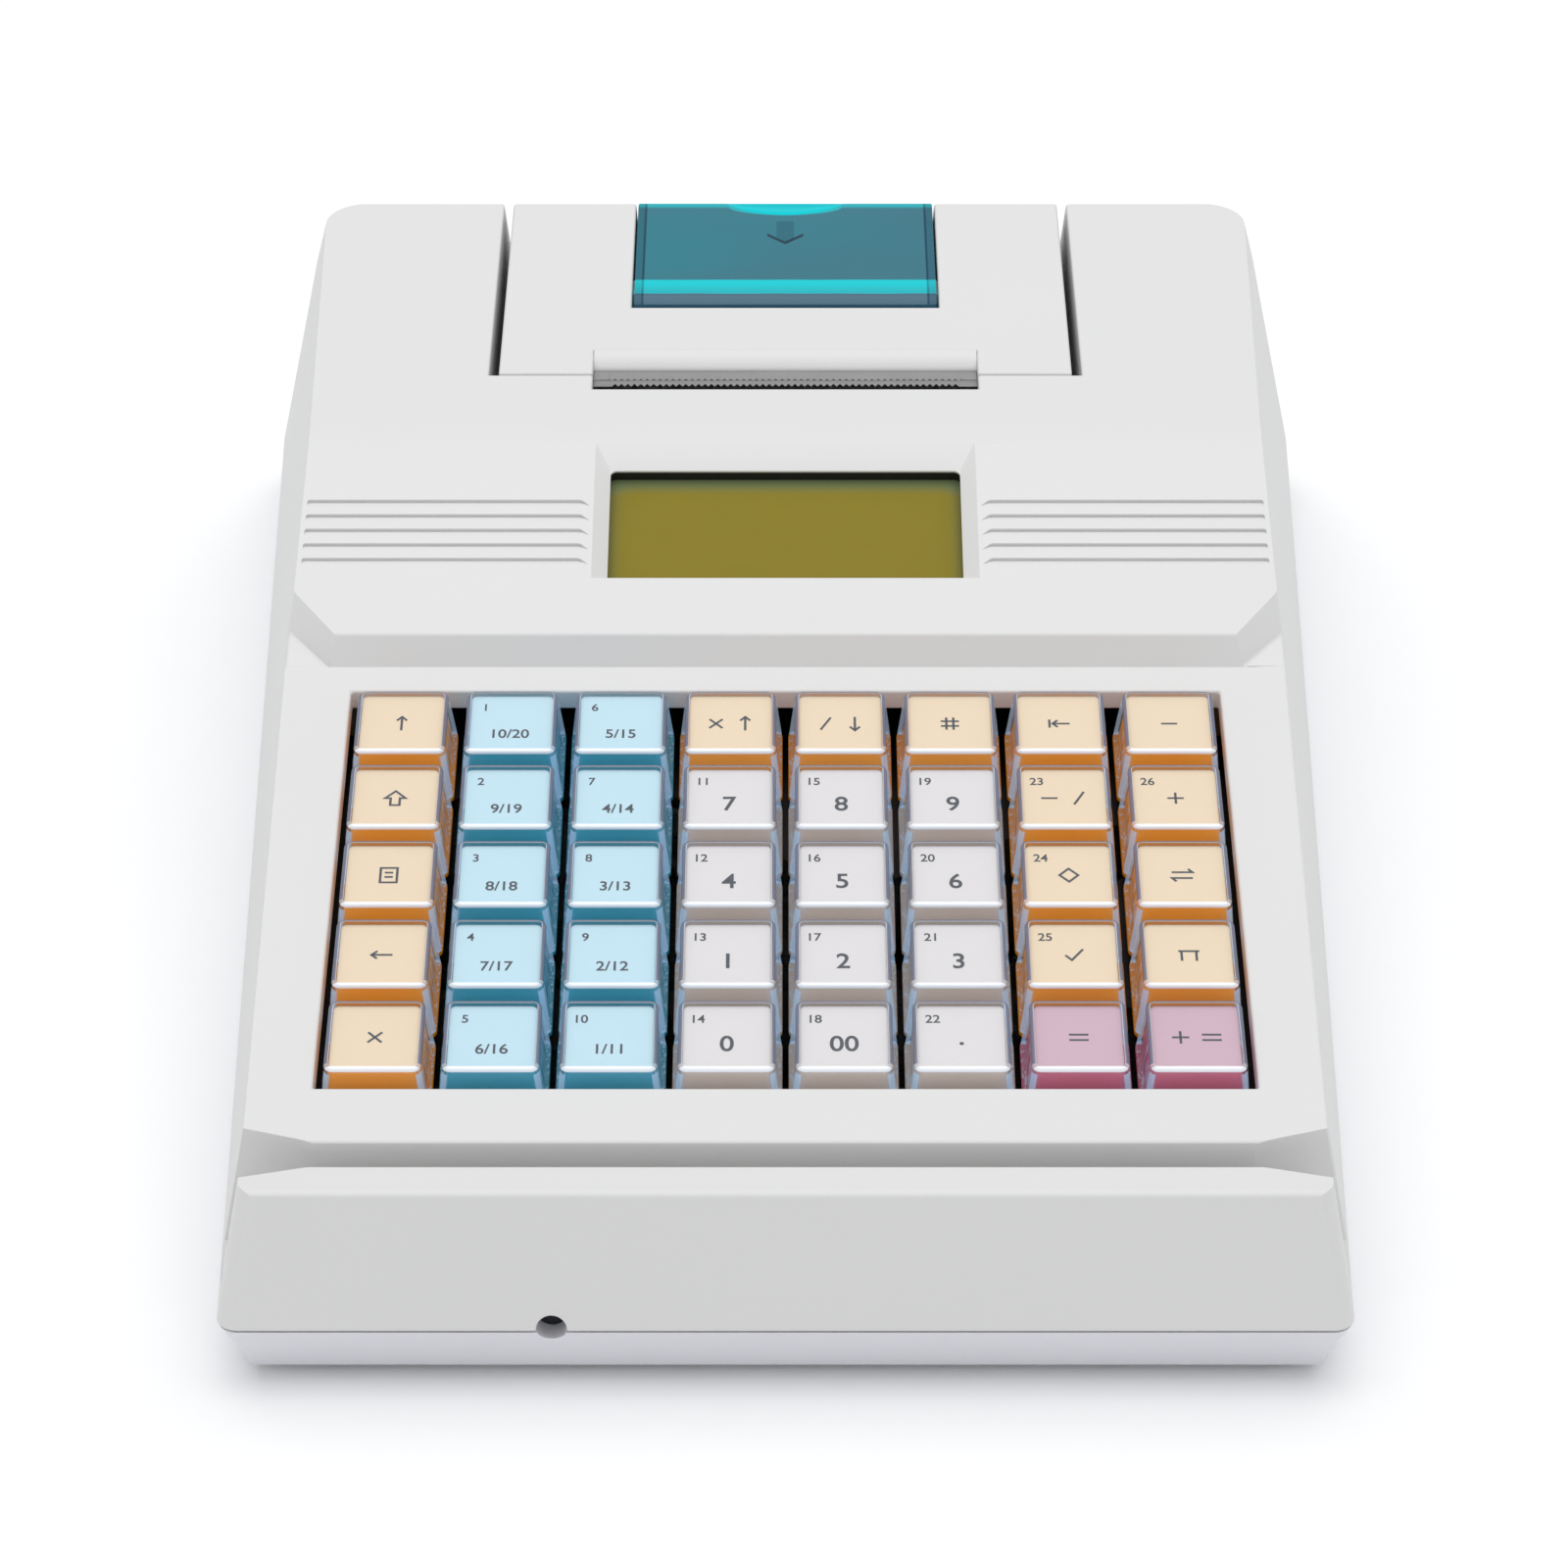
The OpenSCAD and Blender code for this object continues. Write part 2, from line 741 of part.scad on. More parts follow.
// A key: a coloured base with a square stem, a label card and a clear cap over both
module key(row, col) in_case() on_deck() at_key(row, col) {
    skirt = 1;
    cap_t = 0.7;
    card_z = key_proud - cap_t - 0.05;
    card_t = 0.3;
    card_r = 1;
    inner_foot = key_foot - 2 * cap_t;
    inner_top = key_top - 2 * cap_t;
    card_half = inner_top / 2 - 0.1;
    ceiling = switch_top + key_travel + 0.5;
    color(key_colour(row, col)) {
        difference() {
            union() {
                taper(inner_foot - 0.4, inner_top - 0.4, foot_w, card_z - card_t - 0.05);
                slab([key_foot, key_foot], foot_w, foot_w + skirt);
            }
            taper(14, 11.2, foot_w - 0.01, ceiling);
        }
        slab([4.1, 4.1], switch_top - 2, ceiling + 0.5);
    }
    color(key_colour(row, col))
        translate([0, 0, card_z - card_t]) linear_extrude(card_t) offset(r = card_r, $fn = 16)
            square(2 * (card_half - card_r), center = true);
    color([0.9, 0.95, 1, 0.35]) difference() {
        rounded_taper(foot_w + skirt + 0.1, key_proud);
        taper(inner_foot, inner_top, foot_w + skirt, key_proud - cap_t);
    }
}

// Outside of the clear cap, with rounded upright edges
module rounded_taper(z0, z1) {
    edge_r = 1.4;
    hull() for (end = [[key_foot, z0, 0.01], [key_top, z1 - 0.01, 0.01]])
        translate([0, 0, end[1]]) linear_extrude(end[2]) offset(r = edge_r, $fn = 16)
            square(end[0] - 2 * edge_r, center = true);
}

// Left column and the rows of functions are cream, the next two columns blue, the number
// block white and the two large totals rose
function key_colour(row, col) =
    col == 1 || col == 2 ? sky :
    row == key_rows - 1 && col > 5 ? rose :
    row > 0 && col > 2 && col < 6 ? pale : cream;

// Circuit boards and sockets

module main_board() in_case() {
    board_mid = (main_board_from + main_board_to) / 2;
    color(board_green) translate([0, board_mid, 0]) slab(
        [2 * main_board_half, main_board_to - main_board_from], main_board_z, main_board_top);
    color(black) for (x = [-24, 8]) translate([x, 180, 0])
        slab([16, 16], main_board_top, main_board_top + 1.6);
    color(black) for (x = [-50, -36, 46]) translate([x, 146, main_board_top])
        cylinder(13, r = 5);
    color([0.9, 0.88, 0.8]) for (x = [-20, 14]) translate([x, 138, 0])
        slab([26, 6], main_board_top, main_board_top + 8);
    color(steel) translate([44, 196, main_board_top]) cylinder(3.2, r = 10);
}

module rear_ports() color(black) in_case() {
    for (x = jack_x) translate([x, port_face - jack.y + 1, main_board_top]) difference() {
        translate([-jack.x / 2, 0, 0]) cube(jack);
        translate([-5.9, jack.y - 11, 2]) cube([11.8, 11 + over, 8.4]);
    }
    translate([inlet_x, port_face - inlet.y + 1, main_board_top]) difference() {
        translate([-inlet.x / 2, 0, 0]) cube(inlet);
        translate([0, inlet.y - 9.5, inlet.z / 2]) rotate([-90, 0, 0]) cylinder(9.5 + over, r = inlet_r);
    }
    translate([inlet_x, port_face - 9, main_board_top + inlet.z / 2]) rotate([-90, 0, 0])
        cylinder(8.5, r = 1);
}

// Printer

// Side view of the case's top deck, rear corner and rear wall, drawn in by an inset
module cover_outline(inset) {
    offset(delta = -inset) polygon([
        [seam_y - 30, top_z(seam_y - 30)], rear_top, corner_low,
        [rear_y(tray_h), tray_h], [seam_y - 30, tray_h]
    ]);
}

// A shell under that outline, from one inset to another
module cover_band(outer, inner) {
    difference() {
        cover_outline(outer);
        cover_outline(inner);
    }
}

// Everything behind the seam and above the hinge
module cover_reach() {
    polygon([
        [seam_y + seam_gap, hinge_z - 3], [seam_y + seam_gap, reach], [reach, reach],
        hinge + reach / 4 * rear_out, hinge - 6 * rear_out
    ]);
}

// Side view of the lid's opening, past the lid by a gap
module lid_outline(gap) {
    low = lid_end + gap * rear_down;
    front = lid_front + lid_gap - gap;
    polygon([
        [front, low.y - over], [front, reach], [reach, reach],
        low + reach / 4 * rear_out, low - 14 * rear_out
    ]);
}

// Lip that rolls from the cover's top down to the tear bar, with a level underside
module lip_outline() {
    root = exit_end + 4;
    polygon(concat(
        [[root, top_z(exit_end) - lip_drop]],
        [for (a = [0 : 5 : lip_turn]) lip_centre + lip_r * [-sin(a), cos(a)]],
        [[root, lip_edge.y]]
    ));
}

module printer_cover() color(case_white) in_case() difference() {
    union() {
        difference() {
            union() {
                across(cover_w) intersection() {
                    cover_band(0, cover_t);
                    cover_reach();
                }
                both_sides() between(cover_half - 2, cover_half) intersection() {
                    cover_band(0, 9);
                    cover_reach();
                }
                across(cover_w) intersection() {
                    cover_band(0, 7);
                    translate([seam_y + seam_gap, hinge_z]) square([cover_t, reach]);
                }
            }
            across(2 * exit_half) translate([seam_y - over, 0])
                square([exit_back + over, reach]);
            across(2 * (lid_half + lid_gap)) lid_outline(lid_gap);
        }
        across(2 * exit_half + 0.02) lip_outline();
        lid_ledges();
        across(cover_w) translate(hinge) circle(knuckle_r);
        across(2 * (bay_half + wall - 0.3)) translate(hinge) circle(pin_r);
        lid_ears();
    }
    across(2 * (lid_half + lid_gap + 2.1)) translate(lid_axis) circle(lid_pin_r + fit);
}

// Ledges across the cover's opening, close under the lid: one behind its rolled front and one
// under its rear edge
module lid_ledges() {
    across(2 * (lid_half + ledge_seat)) intersection() {
        cover_band(lid_t + seat_gap, lid_t + seat_gap + ledge_t);
        union() {
            translate(lid_end) rotate(-rear_lean) translate([-over, -3]) square([2 * over, 8]);
            translate(lid_axis + [lid_boss_r + 0.6, 0]) square([ledge_l, lid_r]);
        }
    }
}

// Ears under the cover that hold the lid's pins
module lid_ears() {
    x0 = lid_half + lid_gap;
    both_sides() between(x0, x0 + 2.4) intersection() {
        union() {
            translate(lid_axis) circle(3.4);
            translate(lid_axis - [3.4, 0]) square([6.8, lid_r]);
        }
        cover_outline(0.5);
    }
}

module paper_lid() color(teal) in_case() difference() {
    union() {
        across(lid_w) difference() {
            intersection() {
                cover_band(0, lid_t);
                lid_outline(0);
            }
            translate([0, -reach / 2]) square([lid_axis.x, reach * 1.5]);
        }
        across(lid_w) lid_roll(lid_r, lid_r - lid_t);
        both_sides() between(lid_half - 2, lid_half) lid_roll(lid_r, 0);
        both_sides() between(lid_half - 2, lid_half + lid_gap + 2)
            translate(lid_axis) circle(lid_pin_r);
        both_sides() between(lid_half - 2, lid_half) translate(lid_axis) circle(lid_boss_r);
        intersection() {
            across(3 * lid_half / 2) intersection() {
                cover_outline(0.2);
                lid_outline(2);
            }
            scoop(scoop_r + lid_t);
        }
    }
    scoop(scoop_r);
}

// Rolled front of the lid, a little over a quarter of a ring
module lid_roll(outer, inner) {
    intersection() {
        translate(lid_axis) difference() {
            circle(outer);
            circle(inner);
        }
        translate([lid_axis.x - 2 * lid_r + 0.05, lid_axis.y - lid_r / 4]) square(2 * lid_r);
    }
}

// Finger scoop at the lid's top rear edge: a ball that dips into the edge
module scoop(r) {
    out = [sin(scoop_lean), cos(scoop_lean)];
    at = rear_top + (scoop_r - scoop_dip) * out;
    translate([0, at.x, at.y]) sphere(r, $fn = 96);
}

// Serrated strip under the cover's lip, with its teeth past the lip's edge
module tear_bar() color(steel) in_case() {
    tooth_w = 1.2;
    tooth_l = 0.8;
    stand_out = 1.2;
    strip_l = 7;
    teeth = floor(2 * (exit_half - 2.5) / tooth_w);
    half = teeth * tooth_w / 2;
    translate([0, lip_edge.x, lip_edge.y - tear_t]) linear_extrude(tear_t) polygon(concat(
        [[-half, strip_l]],
        [
            for (i = [0 : 2 * teeth])
                [-half + i * tooth_w / 2, -stand_out + (i % 2 == 0 ? tooth_l : 0)]
        ],
        [[half, strip_l]]
    ));
}

// Base plate, side plates and the cradle of the motor
module printer_frame() color(steel) in_case() {
    low = bay_floor;
    top = bay_floor + frame_t;
    y0 = bay_front + 2.5;
    y1 = pinion_at.x + 5.5;
    translate([-frame_x - frame_t - 2, y0, low])
        cube([frame_x + frame_t + 2 + motor_x + motor_len + 0.5, y1 - y0, frame_t]);
    both_sides() between(frame_x, frame_x + frame_t) difference() {
        polygon([
            [y0 + 1, low], [platen.x + 11, low], [platen.x + 8, platen.y + 4],
            [platen.x + 4, platen.y + 7], [platen.x - 4, platen.y + 7], [y0 + 3, platen.y + 2]
        ]);
        translate(platen) circle(shaft_r + fit);
    }
    between(motor_x, motor_x + motor_len) difference() {
        translate([pinion_at.x - 8, low]) square([13.5, pinion_at.y - low - 3]);
        translate(pinion_at) circle(motor_r + 0.05);
    }
}

module platen_roller() in_case() {
    color(black) across(2 * platen_half) translate(platen) circle(platen_r);
    color(steel) between(-frame_x - frame_t - 1.5, gear_x + gear_w + 0.5)
        translate(platen) circle(shaft_r);
}

// Involute gear outline around the origin, with a tooth on the X axis
function inv(a) = tan(a) * 180 / PI - a;
function flank(teeth, r, play) =
    let (base = gear_module * teeth / 2 * cos(20))
        90 / teeth * (1 - play) + inv(20) - (r > base ? inv(acos(base / r)) : 0);
function gear_outline(teeth, addendum, play) =
    let (
        pitch_r = gear_module * teeth / 2,
        root_r = pitch_r - 1.15 * gear_module,
        tip_r = pitch_r + addendum * gear_module,
        base = pitch_r * cos(20),
        low = max(root_r, base),
        rise = [for (i = [0 : 3]) low + (tip_r - low) * i / 3]
    )
    [
        for (i = [0 : teeth - 1], side = [-1, 1], k = [0 : 4])
            let (
                j = side < 0 ? k : 4 - k,
                r = j == 0 ? root_r : rise[j - 1],
                a = 360 * i / teeth + side * flank(teeth, r, play)
            )
            r * [cos(a), sin(a)]
    ];

module platen_gear() color([0.93, 0.92, 0.88]) in_case() between(gear_x, gear_x + gear_w) {
    translate(platen) rotate(mesh_angle) difference() {
        polygon(gear_outline(platen_teeth, 0.85, 0.06));
        circle(shaft_r + 0.02);
    }
}

module motor_pinion() color(steel) in_case() {
    half_tooth = pinion_teeth % 2 == 0 ? 180 / pinion_teeth : 0;
    between(gear_x, gear_x + gear_w) translate(pinion_at) rotate(mesh_angle + half_tooth)
        polygon(gear_outline(pinion_teeth, 0.85, 0.06));
    between(gear_x, motor_x + motor_len - 2) translate(pinion_at) circle(pinion_shaft_r);
}

module feed_motor() color(steel) in_case() {
    between(motor_x, motor_x + motor_len) translate(pinion_at) difference() {
        circle(motor_r);
        circle(pinion_shaft_r + fit);
    }
}

// Thermal head on its heat sink, which stands on the frame
module print_head() in_case() {
    back = platen.x - platen_r - 3.2;
    low = bay_floor + frame_t;
    color(steel) translate([-platen_half, back, low])
        cube([2 * platen_half, 2.2, platen.y + 7 - low]);
    color(black) translate([-platen_half, back + 2.2, platen.y - 7])
        cube([2 * platen_half, 0.7, 14]);
}

// Card reader behind the slot, with its nose in the slot's far wall
module card_reader() color(black) in_case() {
    translate([-20, deck_start.x + wall + 0.1, slot_z + 0.6]) cube([40, 6.4, 13]);
    intersection() {
        translate([-5.5, slot_mid + slot_foot / 2 - 0.1, slot_z + 3]) cube([11, 2 * wall, 7]);
        translate([0, slot_mid + slot_foot / 2 + 15.1, slot_z]) cylinder(16, r = 15, $fn = 96);
    }
}

// Fasteners and feet

module housing_screws() color(steel) in_case() screw_places() {
    translate([0, 0, 3]) cylinder(2.5, r = 2 * screw_r);
    translate([0, 0, 3]) cylinder(tray_h + 8, r = screw_r);
}

module rubber_feet() color([0.2, 0.2, 0.2]) in_case() feet_places() {
    translate([0, 0, -foot_h]) cylinder(foot_h + 1, r = foot_r);
}

base_tray();
upper_housing();
printer_cover();
paper_lid();
tear_bar();
lcd_module();
switch_plate();
key_switches();
keyboard_pcb();
main_board();
rear_ports();
printer_frame();
platen_roller();
platen_gear();
feed_motor();
motor_pinion();
print_head();
card_reader();
housing_screws();
rubber_feet();
for (row = [0 : key_rows - 1]) for (col = [0 : key_cols - 1]) {
    key(row, col);
}
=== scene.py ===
"""Ticket register: finishes, key caps, legends, display, printer trim and studio.

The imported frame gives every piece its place. This file dresses the frame's own nodes, builds the
pieces that need more than one material, and sets up the camera and the light.
"""

from __future__ import annotations

import json
import logging
import math
from dataclasses import dataclass, field
from enum import Enum
from typing import Iterable, Mapping, Sequence, Union

import bmesh
import bpy
from mathutils import Matrix, Vector

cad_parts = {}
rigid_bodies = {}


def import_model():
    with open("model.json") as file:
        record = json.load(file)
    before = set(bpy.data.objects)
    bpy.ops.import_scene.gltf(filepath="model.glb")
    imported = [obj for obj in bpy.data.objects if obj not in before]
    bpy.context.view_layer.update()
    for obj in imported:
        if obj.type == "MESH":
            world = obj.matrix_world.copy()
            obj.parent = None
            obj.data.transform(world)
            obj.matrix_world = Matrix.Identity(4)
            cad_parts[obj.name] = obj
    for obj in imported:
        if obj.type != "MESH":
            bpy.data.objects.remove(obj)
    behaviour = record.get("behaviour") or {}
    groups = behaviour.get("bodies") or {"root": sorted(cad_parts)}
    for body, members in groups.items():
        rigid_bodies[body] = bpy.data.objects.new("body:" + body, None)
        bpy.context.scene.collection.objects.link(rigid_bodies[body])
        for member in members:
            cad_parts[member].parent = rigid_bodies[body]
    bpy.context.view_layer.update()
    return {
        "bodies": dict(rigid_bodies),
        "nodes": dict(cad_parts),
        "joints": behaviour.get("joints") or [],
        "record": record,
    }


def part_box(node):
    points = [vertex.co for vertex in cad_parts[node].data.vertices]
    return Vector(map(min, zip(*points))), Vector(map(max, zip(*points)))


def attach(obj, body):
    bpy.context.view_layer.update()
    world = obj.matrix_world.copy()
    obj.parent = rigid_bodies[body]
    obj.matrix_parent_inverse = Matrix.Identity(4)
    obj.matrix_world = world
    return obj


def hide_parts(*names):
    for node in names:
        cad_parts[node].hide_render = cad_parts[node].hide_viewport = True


LOG = logging.getLogger("ticket_register")
MM = 0.001
Colour = tuple[float, float, float, float]
Levels = tuple[float, float]
Stretch = tuple[float, float, float]
BLACK = (0.0, 0.0, 0.0, 1.0)
# Cosine of how far a face may look away from a direction and still face it
FACING = 0.97


def display_colour(red: int, green: int, blue: int) -> Colour:
    """Turns a colour as a screen shows it into the linear one that shaders use.

    Args:
        red: Red, from 0 to 255.
        green: Green, from 0 to 255.
        blue: Blue, from 0 to 255.

    Returns:
        The linear colour, with an alpha of 1.
    """

    def linear(level: int) -> float:
        """Gives one channel's linear value, by the usual curve of screens."""
        share = level / 255
        return share / 12.92 if share <= 0.04045 else ((share + 0.055) / 1.055) ** 2.4

    return (linear(red), linear(green), linear(blue), 1.0)


def shade(colour: Colour, factor: float) -> Colour:
    """Makes a colour darker or lighter by a factor."""
    return (colour[0] * factor, colour[1] * factor, colour[2] * factor, colour[3])


def mm(*levels: float) -> tuple[float, ...]:
    """Turns lengths in millimetres into metres."""
    return tuple(level * MM for level in levels)


# Shader graphs


class Sock:
    """An output of a shader graph, on which arithmetic adds Math nodes."""

    def __init__(self, graph: Graph, socket: bpy.types.NodeSocket) -> None:
        """Keeps the graph and the socket that it wraps."""
        self.graph = graph
        self.socket = socket

    def _math(self, operation: str, first: Value, second: Value) -> Sock:
        """Adds a Math node for an operation on two values."""
        return self.graph.node("ShaderNodeMath", {"operation": operation}, {0: first, 1: second})

    def __add__(self, other: Value) -> Sock:
        """Adds two values."""
        return self._math("ADD", self, other)

    __radd__ = __add__

    def __mul__(self, other: Value) -> Sock:
        """Multiplies two values."""
        return self._math("MULTIPLY", self, other)

    __rmul__ = __mul__

    def __pow__(self, other: Value) -> Sock:
        """Raises this value to a power."""
        return self._math("POWER", self, other)

    def __truediv__(self, other: Value) -> Sock:
        """Divides this value by the other one."""
        return self._math("DIVIDE", self, other)

    def __rtruediv__(self, other: Value) -> Sock:
        """Divides the other value by this one."""
        return self._math("DIVIDE", other, self)

    def __rpow__(self, other: Value) -> Sock:
        """Raises the other value to this one."""
        return self._math("POWER", other, self)

    def __sub__(self, other: Value) -> Sock:
        """Takes the other value from this one."""
        return self._math("SUBTRACT", self, other)

    def __rsub__(self, other: Value) -> Sock:
        """Takes this value from the other one."""
        return self._math("SUBTRACT", other, self)

    def __gt__(self, other: Value) -> Sock:
        """Gives 1 where this value is the greater one, and 0 elsewhere."""
        return self._math("GREATER_THAN", self, other)

    def __lt__(self, other: Value) -> Sock:
        """Gives 1 where this value is the lesser one, and 0 elsewhere."""
        return self._math("LESS_THAN", self, other)

    def at_least(self, other: Value) -> Sock:
        """Gives the greater of two values."""
        return self._math("MAXIMUM", self, other)

    def at_most(self, other: Value) -> Sock:
        """Gives the lesser of two values."""
        return self._math("MINIMUM", self, other)

    def __abs__(self) -> Sock:
        """Gives the size of the value, without its sign."""
        return self._math("ABSOLUTE", self, 0.0)

    def ramp(self, low: float, high: float) -> Sock:
        """Rises smoothly from 0 to 1 between two levels of this value.

        Args:
            low: The level that gives 0.
            high: The level that gives 1. It may be the lower one.

        Returns:
            The share, from 0 to 1.
        """
        return self.graph.node(
            "ShaderNodeMapRange",
            {"interpolation_type": "SMOOTHSTEP"},
            {"Value": self, "From Min": low, "From Max": high},
        )

    def about(self, middle: Value, swing: float) -> Sock:
        """Drifts about a middle value as this pattern, from 0 to 1, does."""
        return middle + (self - 0.5) * swing

    def between(self, rise: Levels, fall: Levels) -> Sock:
        """Gives 1 inside a stripe with soft sides, and 0 outside it."""
        return self.ramp(*rise) * self.ramp(*fall)


Value = Union[Sock, float, int, Sequence[float]]


class Graph:
    """The node tree of one material, with a Principled shader at its end."""

    def __init__(self, name: str) -> None:
        """Makes an empty material with a Principled shader.

        Args:
            name: The material's name.
        """
        self.material = bpy.data.materials.new(name)
        self.material.use_nodes = True
        self.tree = self.material.node_tree
        self.principled = next(n for n in self.tree.nodes if n.type == "BSDF_PRINCIPLED")

    def node(
        self,
        kind: str,
        settings: Mapping[str, object] | None = None,
        inputs: Mapping[str | int, Value] | None = None,
        output: str | int = 0,
    ) -> Sock:
        """Adds a node.

        Args:
            kind: The node's type, such as "ShaderNodeTexNoise".
            settings: Its settings, which are set first.
            inputs: Values or links of its sockets, by name or place.
            output: The output to hand back, by name or place.

        Returns:
            That output.
        """
        made = self.tree.nodes.new(kind)
        for key, value in (settings or {}).items():
            setattr(made, key, value)
        for key, value in (inputs or {}).items():
            self.feed(made.inputs[key], value)
        return Sock(self, made.outputs[output])

    def feed(self, socket: bpy.types.NodeSocket, value: Value) -> None:
        """Links a socket to an output, or sets its value.

        Args:
            socket: The socket to feed.
            value: The output or the value.
        """
        if isinstance(value, Sock):
            self.tree.links.new(value.socket, socket)
        else:
            socket.default_value = value

    def surface(self, **inputs: Value) -> bpy.types.Material:
        """Feeds the Principled shader.

        Args:
            **inputs: Its inputs, with underscores for the spaces in their names.

        Returns:
            The finished material.
        """
        for key, value in inputs.items():
            self.feed(self.principled.inputs[key.replace("_", " ")], value)
        return self.material

    def place(self) -> Sock:
        """Gives the place on the piece, in metres."""
        return self.node("ShaderNodeTexCoord", output="Object")

    def along(self, axis: str) -> Sock:
        """Gives one coordinate of the place on the piece, "X", "Y" or "Z"."""
        return self.node("ShaderNodeSeparateXYZ", inputs={0: self.place()}, output=axis)

    def noise(self, size: float, detail: float = 2.0, stretch: Stretch = (1, 1, 1)) -> Sock:
        """Gives a soft random pattern.

        Args:
            size: Size of its features, in metres.
            detail: Finer octaves that it holds.
            stretch: How much longer its features are along X, Y and Z.

        Returns:
            Its level, from 0 to 1.
        """
        scale = tuple(1 / s for s in stretch)
        place = self.node(
            "ShaderNodeMapping", {"vector_type": "POINT"}, {"Vector": self.place(), "Scale": scale}
        )
        return self.node(
            "ShaderNodeTexNoise", inputs={"Vector": place, "Scale": 1 / size, "Detail": detail}
        )

    def mix(self, first: Value, second: Value, share: Value) -> Sock:
        """Mixes two colours.

        Args:
            first: The colour where the share is 0.
            second: The colour where the share is 1.
            share: The second colour's share.

        Returns:
            The mixed colour.
        """
        return self.node(
            "ShaderNodeMix", {"data_type": "RGBA"}, {0: share, 6: first, 7: second}, output=2
        )

    def layered(self, base: Value, layers: Iterable[tuple[Value, Value]]) -> Value:
        """Lays colours over a base.

        Args:
            base: The colour below them.
            layers: Each colour and its share, from the lowest.

        Returns:
            The mixed colour.
        """
        for colour, share in layers:
            base = self.mix(base, colour, share)
        return base

    def bump(self, height: Value, depth: float) -> Sock:
        """Turns a height pattern, from 0 to 1, into a normal, with the depth of 1 in metres."""
        inputs = {"Strength": 1.0, "Distance": depth, "Height": height}
        return self.node("ShaderNodeBump", inputs=inputs)


# Finishes


@dataclass(frozen=True)
class Finish:
    """A surface finish, made into a material once and then shared."""

    name: str

    def paint(self, graph: Graph) -> None:
        """Fills the material's graph."""
        raise NotImplementedError

    def material(self) -> bpy.types.Material:
        """Gives the finish's material, which is made at its first use.

        Returns:
            The material.
        """
        found = bpy.data.materials.get(self.name)
        if found is None:
            graph = Graph(self.name)
            self.paint(graph)
            found = graph.material
        return found


@dataclass(frozen=True)
class Moulding(Finish):
    """Moulded plastic with a fine spark-eroded grain."""

    colour: Colour
    roughness: float = 0.5
    grain: float = 0.35 * MM
    grain_gloss: float = 0.12
    drift: float = 60 * MM
    drift_gloss: float = 0.06
    depth: float = 0.012 * MM
    mottle: float = 0.03

    def paint(self, graph: Graph) -> None:
        """Adds the grain, and a slow drift of tone and gloss.

        Args:
            graph: The material's graph.
        """
        drift = graph.noise(self.drift, 3)
        grain = graph.noise(self.grain, 2)
        graph.surface(
            Base_Color=graph.mix(shade(self.colour, 1 - self.mottle), self.colour, drift),
            Roughness=grain.about(drift.about(self.roughness, self.drift_gloss), self.grain_gloss),
            Normal=graph.bump(grain, self.depth),
        )


@dataclass(frozen=True)
class SheetMetal(Finish):
    """Metal with the fine lines of rolling, turning or brushing."""

    colour: Colour
    roughness: float = 0.32
    line: float = 0.15 * MM
    line_gloss: float = 0.18
    stretch: Stretch = (40, 1, 1)
    stain: float = 9 * MM
    stain_gloss: float = 0.1
    stained: float = 0.86
    depth: float = 0.004 * MM

    def paint(self, graph: Graph) -> None:
        """Adds the lines, and stains of handling.

        Args:
            graph: The material's graph.
        """
        lines = graph.noise(self.line, 1, self.stretch)
        stain = graph.noise(self.stain, 4)
        graph.surface(
            Base_Color=graph.mix(shade(self.colour, self.stained), self.colour, stain),
            Metallic=1.0,
            Roughness=lines.about(stain.about(self.roughness, self.stain_gloss), self.line_gloss),
            Normal=graph.bump(lines, self.depth),
        )


